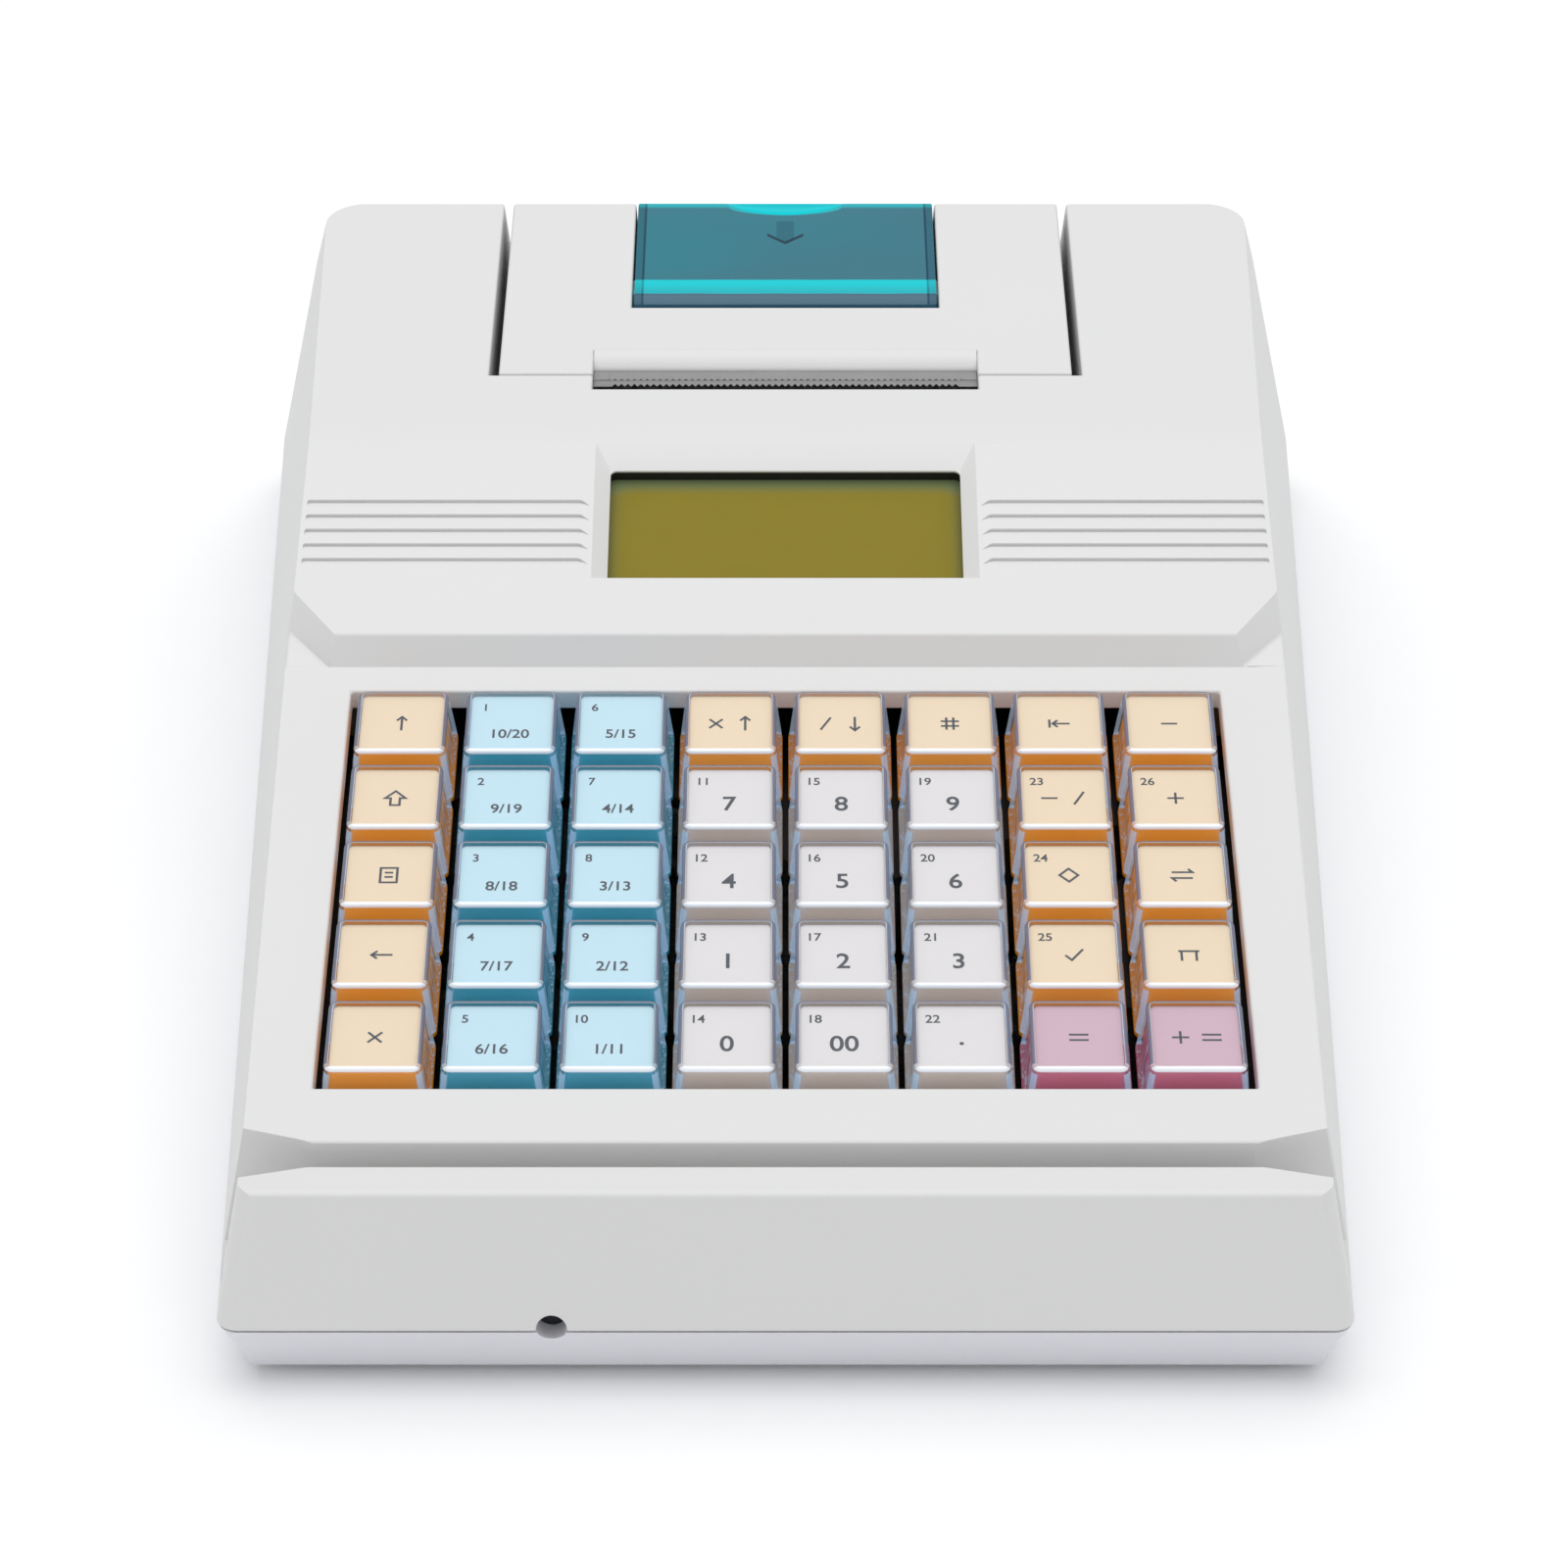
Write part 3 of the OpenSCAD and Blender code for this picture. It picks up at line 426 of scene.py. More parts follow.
@dataclass(frozen=True)
class ClearCap(Finish):
    """Clear moulded cap of a key, which shows mostly by its edges: a painted highlight on its top
    edge and front, a painted dark refraction line round its rim, and painted glowing streaks of
    light in its walls.
    """

    half: float
    height: float
    lean: float
    edge: float
    glass: Colour = display_colour(214, 228, 242)
    # Painted dark refraction line round the top edge
    rim: Colour = display_colour(112, 116, 136)
    # Painted highlight on the top edge and the front
    light: Colour = display_colour(250, 251, 255)
    # Painted streaks of light, which also glow, on the upright corners and the ribs
    streak: Colour = display_colour(166, 198, 228)
    roughness: float = 0.08
    ior: float = 1.49
    thinnest: float = 0.04
    thickest: float = 0.95
    # Strength of the painted glow of the streaks and the front edge
    glow: float = 0.4

    # Where each mask begins and ends, in radii of the top edge
    TOP = (-1.5, -1.0)
    LIP = (0.98, 1.08)
    RING = (1.2, 1.35)
    FLAT = -2.3
    FRONT = (1.25, 0.95)
    AHEAD = (2.4, 2.2)
    CORNER = (2.2, 1.5)
    DOWN = (-2.0, -2.8)
    # The painted ribs of light: size, finer octaves, stretch, levels and strength
    RIBS = (0.6 * MM, 2, (1, 1, 14))
    RIB_LEVELS = (0.55, 0.64)
    RIB_STRENGTH = 0.8
    # How solid each mask makes the cap, and how much of the front edge shows the painted glow
    SOLID = (0.55, 0.35, 0.5, 0.5)
    FRONT_GLOW = 0.4

    def radii(self, start: float, levels: Levels) -> Levels:
        """Gives two levels that are counted in edge radii from a start."""
        return start + levels[0] * self.edge, start + levels[1] * self.edge

    def paint(self, graph: Graph) -> None:
        """Paints a highlight on the lip and the front, a dark refraction line on the rim, and
        glowing streaks of light on the upright corners and the ribs in the walls.

        Args:
            graph: The material's graph.
        """
        x, y, z = abs(graph.along("X")), graph.along("Y"), graph.along("Z")
        side = abs(y)
        on_top = z.ramp(*self.radii(self.height, self.TOP))
        flat = self.half + self.FLAT * self.edge
        out_x, out_y = (x - flat).at_least(0.0), (side - flat).at_least(0.0)
        reach = (out_x * out_x + out_y * out_y) ** 0.5
        lip = reach.ramp(*self.radii(0.0, self.LIP)) * on_top
        front = y.ramp(*self.radii(-self.half, self.FRONT)) * on_top
        behind = 1 - y.ramp(*self.radii(-self.half, self.AHEAD))
        ring = reach.ramp(*self.radii(0.0, self.RING)) * on_top * behind
        wall = self.half + (self.height - z) * self.lean
        near = wall - x.at_most(side)
        corner = near.ramp(*self.radii(0.0, self.CORNER))
        down = z.ramp(*self.radii(self.height, self.DOWN))
        ribs = graph.noise(*self.RIBS).ramp(*self.RIB_LEVELS) * (x > side)
        lit = corner.at_least(ribs * self.RIB_STRENGTH) * down
        # Painted light: streaks, highlights on the lip and the front, and a dark refraction line on
        # the rim
        masks = (lit, lip, ring, front)
        tones = (self.streak, self.light, self.rim, self.light)
        veil = sum((mask * solid for mask, solid in zip(masks, self.SOLID)), self.thinnest)
        graph.surface(
            Base_Color=graph.layered(self.glass, zip(tones, masks)),
            Roughness=self.roughness,
            IOR=self.ior,
            Alpha=veil.at_most(self.thickest),
            # Painted glow, though the cap is no lamp
            Emission_Color=graph.mix(BLACK, self.streak, lit.at_least(front * self.FRONT_GLOW)),
            Emission_Strength=self.glow,
        )


@dataclass(frozen=True)
class TintedLid(Finish):
    """Translucent teal moulding with a painted glow where light would leave it through an edge, and
    painted dark lines of shade at its front.
    """

    front: float
    back: float
    half: float
    scoop_half: float
    scoop_depth: float
    body: Colour = display_colour(62, 124, 140)
    teal: Colour = display_colour(40, 132, 145)
    # Dark teal of the painted shade lines, the shaded front strip and the darker side lines
    deep: Colour = display_colour(6, 66, 88)
    # Colour of the painted glow, which also feeds the emission
    glow: Colour = display_colour(0, 194, 202)
    haze: Colour = display_colour(84, 108, 128)
    roughness: float = 0.34
    alpha: float = 0.94
    shine: float = 0.2
    # Strength of the painted glow
    emission: float = 0.12
    speck: float = 0.45 * MM
    cloud: float = 30 * MM
    ripple: float = 9 * MM
    depth: float = 0.01 * MM

    # Where each mask begins and ends, from the front edge back
    BAND = (mm(4.3, 4.6), mm(9.8, 9.4))
    BAND_SHADE = mm(8.6, 4.6)
    LINES = (mm(1.9, 1.7), mm(1.1, 1.3))
    TIP = mm(0.4, 0.2)
    FRONT = mm(1.6, 1.4)
    LEDGE = (mm(4.6, 4.3), mm(1.7, 2.0))
    # From the rear edge forward, and across the recess's rim
    REAR = mm(1.9, 1.5)
    CREST = mm(-0.7, -0.4)
    LENS_RIM = 1.3 * MM
    LENS_SOFT = mm(0.0, 0.3)
    # From the sides in
    CHEEK = mm(1.9, 1.6)
    CHEEK_CORE = mm(1.2, 1.5)
    # How far the band wanders, and how strongly each mask shows
    WAVE = 0.35 * MM
    BAND_LOSS = 0.3
    REAR_GLOW = 0.35
    RIM_GLOW = 0.62
    CHEEK_SKIN = 0.4
    CLOUDED = 0.6
    HAZED = 0.75

    def paint(self, graph: Graph) -> None:
        """Lays the painted glowing bands and the painted shade lines over the body's tint.

        Args:
            graph: The material's graph.
        """
        x, y = abs(graph.along("X")), graph.along("Y")
        ahead, behind = y - self.front, self.back - y
        wave = graph.noise(self.ripple, 2) * self.WAVE
        # Painted glow: a bright band behind the front edge, dimmed towards its front by painted
        # shade
        band = (ahead + wave).between(*self.BAND)
        lower = ahead.ramp(*self.BAND_SHADE) * self.BAND_LOSS
        share = (x / self.scoop_half).at_most(1.0)
        rim = (1 - share * share) ** 0.5 * self.scoop_depth
        outer = (rim + self.LENS_RIM - behind).ramp(*self.LENS_SOFT)
        inner = (rim - behind).ramp(*self.LENS_SOFT)
        # Painted glow round the scoop's recess and along the rear edge
        rear = behind.ramp(*self.REAR) * self.REAR_GLOW
        lens = rear.at_least(outer * self.RIM_GLOW).at_least(inner) * behind.ramp(*self.CREST)
        painted_glow_share = (band - lower * band).at_least(lens)
        # Painted shade: dark lines near the front edge, and a darker strip at the front
        lines = ahead.between(*self.LINES).at_least(ahead.ramp(*self.TIP))
        front = ahead.ramp(*self.FRONT)
        ledge = ahead.between(*self.LEDGE)
        side = self.half - x
        core = self.CHEEK_SKIN + side.ramp(*self.CHEEK_CORE) * (1 - self.CHEEK_SKIN)
        cheek = side.ramp(*self.CHEEK) * core
        speck = graph.noise(self.speck, 3)
        cloud = graph.noise(self.cloud, 2, (2, 1, 1)).ramp(0.35, 0.75)
        # Grain and cloudy tone, a greyer ledge, the painted shade, the painted glow, then darker
        # lines along the sides
        layers = (
            (shade(self.body, 0.86), speck),
            (self.teal, cloud * self.CLOUDED),
            (self.haze, ledge * self.HAZED),
            (shade(self.deep, 2.2), front),
            (self.deep, lines),
            (self.glow, painted_glow_share),
            (self.deep, cheek * (1 - painted_glow_share * 0.4)),
        )
        graph.surface(
            Base_Color=graph.layered(self.body, layers),
            Alpha=self.alpha + painted_glow_share * 0.05,
            Roughness=speck.about(self.roughness, 0.1),
            Specular_IOR_Level=self.shine,
            # Painted glow, though the lid is no lamp
            Emission_Color=graph.mix(BLACK, self.glow, painted_glow_share),
            Emission_Strength=self.emission,
            Normal=graph.bump(speck, self.depth),
        )


@dataclass(frozen=True)
class KeyBase(Finish):
    """Coloured base of a key, with a painted glow for the light through its clear cap and painted
    shade towards its foot.
    """

    colour: Colour
    height: float
    roughness: float = 0.42
    # How dark the painted shade makes the foot
    foot_tone: float = 0.5
    patch_tone: float = 0.7
    patch_share: float = 0.25
    patch: float = 6 * MM
    grain: float = 0.5 * MM
    depth: float = 0.01 * MM
    # Strength of the painted glow of the base's own colour
    emission: float = 0.32

    def paint(self, graph: Graph) -> None:
        """Deepens the colour towards the foot as painted shade, and adds a painted glow of the same
        colour.

        Args:
            graph: The material's graph.
        """
        grain = graph.noise(self.grain, 2)
        # Painted shade, deepening towards the foot
        low = graph.along("Z").ramp(self.height, 0.1 * self.height)
        patch = graph.noise(self.patch, 3) * self.patch_share
        foot, patched = shade(self.colour, self.foot_tone), shade(self.colour, self.patch_tone)
        tone = graph.layered(self.colour, ((foot, low), (patched, patch)))
        graph.surface(
            Base_Color=tone,
            Roughness=grain.about(self.roughness, 0.1),
            # Painted glow, though the base is no lamp
            Emission_Color=tone,
            Emission_Strength=self.emission,
            Normal=graph.bump(grain, self.depth),
        )


@dataclass(frozen=True)
class Grained(Finish):
    """Matt material whose tone, gloss and relief follow one fine grain."""

    colour: Colour
    grain: float = 0.4 * MM
    octaves: int = 4
    stretch: Stretch = (1, 1, 1)
    tones: Levels = (1.0, 1.9)
    roughness: float = 0.78
    gloss: float = 0.2
    depth: float = 0.03 * MM

    def paint(self, graph: Graph) -> None:
        """Adds the grain.

        Args:
            graph: The material's graph.
        """
        grain = graph.noise(self.grain, self.octaves, self.stretch)
        dark, light = (shade(self.colour, tone) for tone in self.tones)
        graph.surface(
            Base_Color=graph.mix(dark, light, grain),
            Roughness=grain.about(self.roughness, self.gloss),
        )
        if self.depth > 0:
            graph.surface(Normal=graph.bump(grain, self.depth))


@dataclass(frozen=True)
class Card(Grained):
    """Printed card with the fibres of paper."""

    grain: float = 0.25 * MM
    stretch: Stretch = (3, 1, 1)
    tones: Levels = (0.965, 1.0)
    roughness: float = 0.75
    gloss: float = 0.15
    depth: float = 0.01 * MM


@dataclass(frozen=True)
class Backdrop(Grained):
    """Plain pale studio floor with the slightest unevenness of paper."""

    grain: float = 2 * MM
    octaves: int = 3
    tones: Levels = (0.995, 1.0)
    roughness: float = 0.9
    gloss: float = 0.05
    depth: float = 0.0


@dataclass(frozen=True)
class Ink(Finish):
    """Dark print."""

    colour: Colour
    speck: float = 0.2 * MM
    roughness: float = 0.6
    worn: float = 1.5

    def paint(self, graph: Graph) -> None:
        """Breaks the print up slightly.

        Args:
            graph: The material's graph.
        """
        speck = graph.noise(self.speck, 3)
        worn = shade(self.colour, self.worn)
        graph.surface(
            Base_Color=graph.mix(self.colour, worn, speck.ramp(0.5, 0.9)),
            Roughness=speck.about(self.roughness, 0.1),
        )


@dataclass(frozen=True)
class LiquidCrystal(Finish):
    """Unlit display, darker towards its frame."""

    middle: Colour
    edge: Colour
    half_width: float
    low: float
    high: float
    side_fade: float = 4 * MM
    back_fade: float = 5 * MM
    front_fade: float = 2.5 * MM
    patch: float = 9 * MM
    patch_tone: float = 0.9
    weave: float = 0.3 * MM
    roughness: float = 0.5
    shine: float = 0.12
    depth: float = 0.004 * MM

    def paint(self, graph: Graph) -> None:
        """Fades the colour near the edges and adds the polariser's faint weave.

        Args:
            graph: The material's graph.
        """
        side = abs(graph.along("X")).ramp(self.half_width - self.side_fade, self.half_width)
        rise = graph.along("Y")
        back = rise.ramp(self.high - self.back_fade, self.high)
        front = rise.ramp(self.low + self.front_fade, self.low)
        patch = graph.noise(self.patch, 3)
        weave = graph.noise(self.weave, 2)
        inner = graph.mix(self.middle, shade(self.middle, self.patch_tone), patch)
        framed = graph.mix(inner, self.edge, (side * 0.45 + front * 0.3 + back).ramp(0.0, 1.1))
        graph.surface(
            Base_Color=framed,
            Roughness=weave.about(self.roughness, 0.1),
            Specular_IOR_Level=self.shine,
            Normal=graph.bump(weave, self.depth),
        )


@dataclass(frozen=True)
class PlatenSurface(Finish):
    """Ground rubber round a steel shaft, told apart by the distance from the axis."""

    axis_y: float
    axis_z: float
    shaft_r: float
    steel: tuple[Colour, Colour] = ((0.55, 0.56, 0.58, 1.0), (0.68, 0.69, 0.7, 1.0))
    rubber: Colour = (0.02, 0.02, 0.022, 1.0)
    steel_roughness: float = 0.25
    rubber_roughness: float = 0.65
    seat: float = 1.06
    line: float = 0.3 * MM
    stretch: Stretch = (6, 1, 1)
    depth: float = 0.01 * MM

    def paint(self, graph: Graph) -> None:
        """Covers what lies outside the shaft with rubber.

        Args:
            graph: The material's graph.
        """
        y = graph.along("Y") - self.axis_y
        z = graph.along("Z") - self.axis_z
        covered = (y * y + z * z) > (self.shaft_r * self.seat) ** 2
        grain = graph.noise(self.line, 3, self.stretch)
        duller = self.rubber_roughness - self.steel_roughness
        graph.surface(
            Base_Color=graph.mix(graph.mix(*self.steel, grain), self.rubber, covered),
            Metallic=1 - covered,
            Roughness=grain.about(self.steel_roughness + covered * duller, 0.15),
            Normal=graph.bump(grain, self.depth),
        )


@dataclass(frozen=True)
class SolderMask(Finish):
    """Green circuit board with its traces."""

    colour: Colour = (0.012, 0.09, 0.035, 1.0)
    cells_per_metre: float = 260.0
    trace_tone: float = 2.2
    roughness: float = 0.35
    depth: float = 0.03 * MM

    def paint(self, graph: Graph) -> None:
        """Lays lighter traces over the mask.

        Args:
            graph: The material's graph.
        """
        cells = graph.node(
            "ShaderNodeTexVoronoi",
            {"distance": "MANHATTAN", "feature": "F1"},
            {"Vector": graph.place(), "Scale": self.cells_per_metre},
        )
        trace = cells.ramp(0.42, 0.5)
        graph.surface(
            Base_Color=graph.mix(self.colour, shade(self.colour, self.trace_tone), trace),
            Roughness=self.roughness + trace * 0.1,
            Normal=graph.bump(trace, self.depth),
        )


class Palette:
    """The finishes of this register."""

    case = Moulding("case_moulding", display_colour(225, 224, 223), roughness=0.48)
    tray = Moulding("tray_moulding", display_colour(226, 225, 231), roughness=0.5)
    black = Moulding("black_moulding", (0.012, 0.012, 0.013, 1.0), roughness=0.42)
    bezel = Moulding("bezel_moulding", (0.006, 0.006, 0.006, 1.0), roughness=0.55)
    nylon = Moulding("nylon_gear", display_colour(226, 224, 214), roughness=0.4)
    mark = Ink("lid_mark", display_colour(4, 50, 74))
    shaft = Ink("lid_shaft", display_colour(16, 98, 114))
    ink = Ink("legend_ink", display_colour(56, 56, 62))
    steel = SheetMetal("sheet_steel", (0.66, 0.67, 0.69, 1.0))
    # Steel of the tear bar, darkened as painted shade for the dark interior that it reflects
    blade = SheetMetal("serrated_steel_painted_shade", (0.49, 0.48, 0.48, 1.0), roughness=0.4)
    # The same steel, darker still, on the strip's turned-down front: painted shade
    teeth = SheetMetal("serrated_front_painted_shade", (0.2, 0.195, 0.195, 1.0), roughness=0.45)
    can = SheetMetal("drawn_steel", (0.56, 0.57, 0.59, 1.0), roughness=0.28)
    brass = SheetMetal("turned_brass", (0.78, 0.58, 0.25, 1.0), roughness=0.25)
    plate = SheetMetal("black_plate", (0.03, 0.03, 0.032, 1.0), roughness=0.45)
    screw = SheetMetal("zinc_screw", (0.6, 0.6, 0.62, 1.0), roughness=0.3, stretch=(1, 1, 1))
    sink = SheetMetal("heat_sink", (0.72, 0.73, 0.74, 1.0), roughness=0.35)
    rubber = Grained("dull_rubber", (0.018, 0.018, 0.018, 1.0))
    board = SolderMask("solder_mask")
    floor = Backdrop("studio_floor", (0.99, 0.99, 0.99, 1.0))


# Meshes


@dataclass
class Rings:
    """A closed mesh lofted through rings of points."""

    rings: list[list[Vector]] = field(default_factory=list)
    corner_steps: int = 5

    def rectangle(self, half_x: float, half_y: float, corner: float, z: float) -> None:
        """Adds a level ring in the shape of a rectangle with round corners.

        Args:
            half_x: Half of its side along X.
            half_y: Half of its side along Y.
            corner: Radius of its corners.
            z: Its height.
        """
        ring: list[Vector] = []
        for quarter in range(4):
            sign_x = 1 if quarter in (0, 3) else -1
            sign_y = 1 if quarter in (0, 1) else -1
            centre = Vector((sign_x * (half_x - corner), sign_y * (half_y - corner), z))
            for step in range(self.corner_steps + 1):
                angle = math.radians(90 * (quarter + step / self.corner_steps))
                ring.append(centre + corner * Vector((math.cos(angle), math.sin(angle), 0)))
        self.rings.append(ring)

    def mesh(self, name: str, hollow: bool = False) -> bpy.types.Mesh:
        """Joins each ring to the next.

        Args:
            name: The mesh's name.
            hollow: Joins the last ring to the first, instead of closing both ends.

        Returns:
            The closed mesh, shaded smooth where it bends gently.
        """
        built = bmesh.new()
        rows = [[built.verts.new(point) for point in ring] for ring in self.rings]
        for lower, upper in zip(rows, rows[1:] + rows[:1] if hollow else rows[1:]):
            count = len(lower)
            for i in range(count):
                j = (i + 1) % count
                built.faces.new((lower[i], lower[j], upper[j], upper[i]))
        if not hollow:
            built.faces.new(list(reversed(rows[0])))
            built.faces.new(rows[-1])
        bmesh.ops.recalc_face_normals(built, faces=built.faces)
        return finish_mesh(built, name)


def stacked(
    name: str, levels: Iterable[tuple[float, float, float, float]], hollow: bool = False
) -> bpy.types.Mesh:
    """Builds a closed mesh from rectangles with round corners.

    Args:
        name: The mesh's name.
        levels: Each ring's half sides along X and Y, corner radius and height.
        hollow: Joins the last ring to the first, instead of closing both ends.

    Returns:
        The mesh.
    """
    rings = Rings()
    for level in levels:
        rings.rectangle(*level)
    return rings.mesh(name, hollow)


def finish_mesh(built: bmesh.types.BMesh, name: str, sharp: float = 35.0) -> bpy.types.Mesh:
    """Turns a working mesh into a finished one.

    Args:
        built: The working mesh, which is freed.
        name: The new mesh's name.
        sharp: Edges that bend more than this stay sharp, in degrees.

    Returns:
        The new mesh.
    """
    for face in built.faces:
        face.smooth = True
    for edge in built.edges:
        edge.smooth = len(edge.link_faces) == 2 and edge.calc_face_angle() < math.radians(sharp)
    mesh = bpy.data.meshes.new(name)
    built.to_mesh(mesh)
    built.free()
    return mesh


def linked(name: str, data: bpy.types.ID) -> bpy.types.Object:
    """Makes an object and links it to the scene.

    Args:
        name: The object's name.
        data: Its mesh, curve, lamp or camera.

    Returns:
        The object.
    """
    made = bpy.data.objects.new(name, data)
    bpy.context.scene.collection.objects.link(made)
    return made


def add_piece(
    name: str,
    mesh: bpy.types.Mesh,
    finish: Finish,
    body: str,
    place: Matrix | None = None,
) -> bpy.types.Object:
    """Puts a new piece on a body.

    Args:
        name: The piece's name.
        mesh: Its mesh.
        finish: Its finish.
        body: The body that it rides on.
        place: Where its own origin lies, in the frame.

    Returns:
        The piece.
    """
    mesh.materials.clear()
    mesh.materials.append(finish.material())
    piece = linked(name, mesh)
    if place is not None:
        piece.matrix_world = place
    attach(piece, body)
    LOG.info("%s on %s", name, body)
    return piece


def evaluated(carrier: bpy.types.Object) -> bpy.types.Mesh:
    """Bakes a carrier's modifiers into a mesh of its own.

    Args:
        carrier: The object with the modifiers, which is removed.

    Returns:
        The mesh.
    """
    graph = bpy.context.evaluated_depsgraph_get()
    mesh = bpy.data.meshes.new_from_object(carrier.evaluated_get(graph))
    bpy.data.objects.remove(carrier)
    return mesh


@dataclass(frozen=True)
class Softening:
    """Rounds the edges of a node of the frame, without touching its own mesh."""

    radius: float = 0.5 * MM
    segments: int = 2
    angle: float = 28.0
    flat: float = 0.6
    merge: float = 0.002 * MM
    normal_weight: int = 80

    def apply(self, node: bpy.types.Object) -> None:
        """Adds the modifiers.

        Args:
            node: The node's object.
        """
        weld = node.modifiers.new("weld", "WELD")
        weld.merge_threshold = self.merge
        merge = node.modifiers.new("merge_faces", "DECIMATE")
        merge.decimate_type = "DISSOLVE"
        merge.angle_limit = math.radians(self.flat)
        if self.radius > 0:
            bevel = node.modifiers.new("round_edges", "BEVEL")
            bevel.limit_method = "ANGLE"
            bevel.angle_limit = math.radians(self.angle)
            bevel.width = self.radius
            bevel.segments = self.segments
            bevel.use_clamp_overlap = False
            bevel.miter_outer = "MITER_ARC"
            bevel.harden_normals = False
        normals = node.modifiers.new("even_normals", "WEIGHTED_NORMAL")
        normals.keep_sharp = True
        normals.weight = self.normal_weight


@dataclass(frozen=True)
class Recast:
    """Copies a node into a clean mesh and rounds each edge as far as the room beside it allows."""

    radius: float = 0.5 * MM
    sharp: float = math.radians(28)
    onward: float = math.radians(25)
    segments: int = 3
    share: float = 0.42
    merge: float = 0.004 * MM
    flat: float = math.radians(0.1)
    gentle: float = math.radians(32)
    slim: float = 0.3
    slim_x: Levels = (0.0, 0.0)
    # An edge turns off when more than this share of its length lies to the side
    across: float = 0.35
    # Edges that run side by side for less than this don't limit each other
    overlap: float = 0.02 * MM
    # In radii: below the first an edge is brief, and above the second another may run on from it
    brief: float = 4.0
    stub: float = 2.0
    # The room of an edge that nothing limits
    far: float = 1.0

    def tidy(self, built: bmesh.types.BMesh) -> None:
        """Joins a mesh's triangles into whole faces.

        Args:
            built: The working mesh.
        """
        bmesh.ops.remove_doubles(built, verts=built.verts, dist=self.merge)
        bmesh.ops.dissolve_limit(
            built, angle_limit=self.flat, verts=built.verts, edges=built.edges, delimit=set()
        )
        built.normal_update()

    def clean(self, node: bpy.types.Object, cutter: bpy.types.Mesh | None) -> bmesh.types.BMesh:
        """Copies a node, less what a cutter takes away.

        Args:
            node: The node's object.
            cutter: The solid to take away, if any.

        Returns:
            The working mesh.
        """
        built = bmesh.new()
        built.from_mesh(node.data)
        self.tidy(built)
        if cutter is not None:
            whole = bpy.data.meshes.new("whole")
            built.to_mesh(whole)
            built.clear()
            built.from_mesh(self.cut(whole, cutter))
            self.tidy(built)
        return built

    def cut(self, whole: bpy.types.Mesh, cutter: bpy.types.Mesh) -> bpy.types.Mesh:
        """Takes one solid away from another.

        Args:
            whole: The solid to cut.
            cutter: The solid to take away.

        Returns:
            What is left.
        """
        pair = [linked("cutting", mesh) for mesh in (whole, cutter)]
        boolean = pair[0].modifiers.new("cut", "BOOLEAN")
        boolean.operation = "DIFFERENCE"
        boolean.solver = "EXACT"
        boolean.object = pair[1]
        bpy.context.view_layer.update()
        left = evaluated(pair[0])
        bpy.data.objects.remove(pair[1])
        return left

    def shade_by_area(self, mesh: bpy.types.Mesh) -> None:
        """Lets each corner lean on the larger of the faces that bend gently from its own.

        Args:
            mesh: The rounded mesh.
        """
        beside: list[list[int]] = [[] for _ in mesh.vertices]
        for face in mesh.polygons:
            face.use_smooth = True
            for vertex in face.vertices:
                beside[vertex].append(face.index)
        weighted = [face.normal * face.area for face in mesh.polygons]
        limit = math.cos(self.gentle)
        leaning = []
        for face in mesh.polygons:
            for vertex in face.vertices:
                near = [
                    weighted[i]
                    for i in beside[vertex]
                    if mesh.polygons[i].normal.dot(face.normal) > limit
                ]
                leaning.append(sum(near, Vector()).normalized())
        mesh.normals_split_custom_set(leaning)

    def bends(self, edge: bmesh.types.BMEdge) -> bool:
        """Tells whether two faces meet at an edge at more than the sharp angle."""
        return len(edge.link_faces) == 2 and edge.calc_face_angle() > self.sharp

    def is_slim(self, edge: bmesh.types.BMEdge) -> bool:
        """Tells whether an edge runs along one of the narrow gaps."""
        return all(self.slim_x[0] < abs(vertex.co.x) < self.slim_x[1] for vertex in edge.verts)

    def room(self, edge: bmesh.types.BMEdge) -> float:
        """Measures how far the faces of an edge reach to its sides.

        Args:
            edge: The edge.

        Returns:
            The least distance to an edge beside it, or to the far end of one that turns off.
        """
        start = edge.verts[0].co
        length = edge.calc_length()
        way = (edge.verts[1].co - start) / length
        beside = {other for face in edge.link_faces for other in face.edges}
        turning = {other for vertex in edge.verts for other in vertex.link_edges}
        least = self.far
        for other in (beside | turning) - {edge}:
            ends = [vertex.co - start for vertex in other.verts]
            along = sorted(point.dot(way) for point in ends)
            aside = [(point - point.dot(way) * way).length for point in ends]
            if other in turning:
                if max(aside) > self.across * other.calc_length():
                    least = min(least, max(aside))
            elif min(along[1], length) - max(along[0], 0.0) > self.overlap:
                least = min(least, max(min(aside), self.merge))
        return least

    def stops_short(self, edge: bmesh.types.BMEdge, chosen: set[bmesh.types.BMEdge]) -> bool:
        """Tells whether a short run that goes on from an edge stays sharp.

        Args:
            edge: The edge.
            chosen: The edges to round.

        Returns:
            True where rounding this edge would end inside a finer curve.
        """
        brief = edge.calc_length() < self.brief * self.radius
        for vertex in edge.verts:
            way = vertex.co - edge.other_vert(vertex).co
            for other in vertex.link_edges:
                long = other.calc_length() > self.stub * self.radius
                runs_on = long and not (brief and self.bends(other))
                if other in chosen or other is edge or runs_on:
                    continue
                if way.angle(other.other_vert(vertex).co - vertex.co) < self.onward:
                    return True
        return False

    def rounded(self, built: bmesh.types.BMesh) -> set[bmesh.types.BMEdge]:
        """Picks the edges that have room for rounding all along their run.

        Args:
            built: The working mesh.

        Returns:
            The edges.
        """
        chosen = {
            edge
            for edge in built.edges
            if self.bends(edge) and self.share * self.room(edge) > self.radius
        }
        ends = chosen
        while ends:
            ends = {edge for edge in chosen if self.stops_short(edge, chosen)}
            chosen = chosen - ends
        return chosen

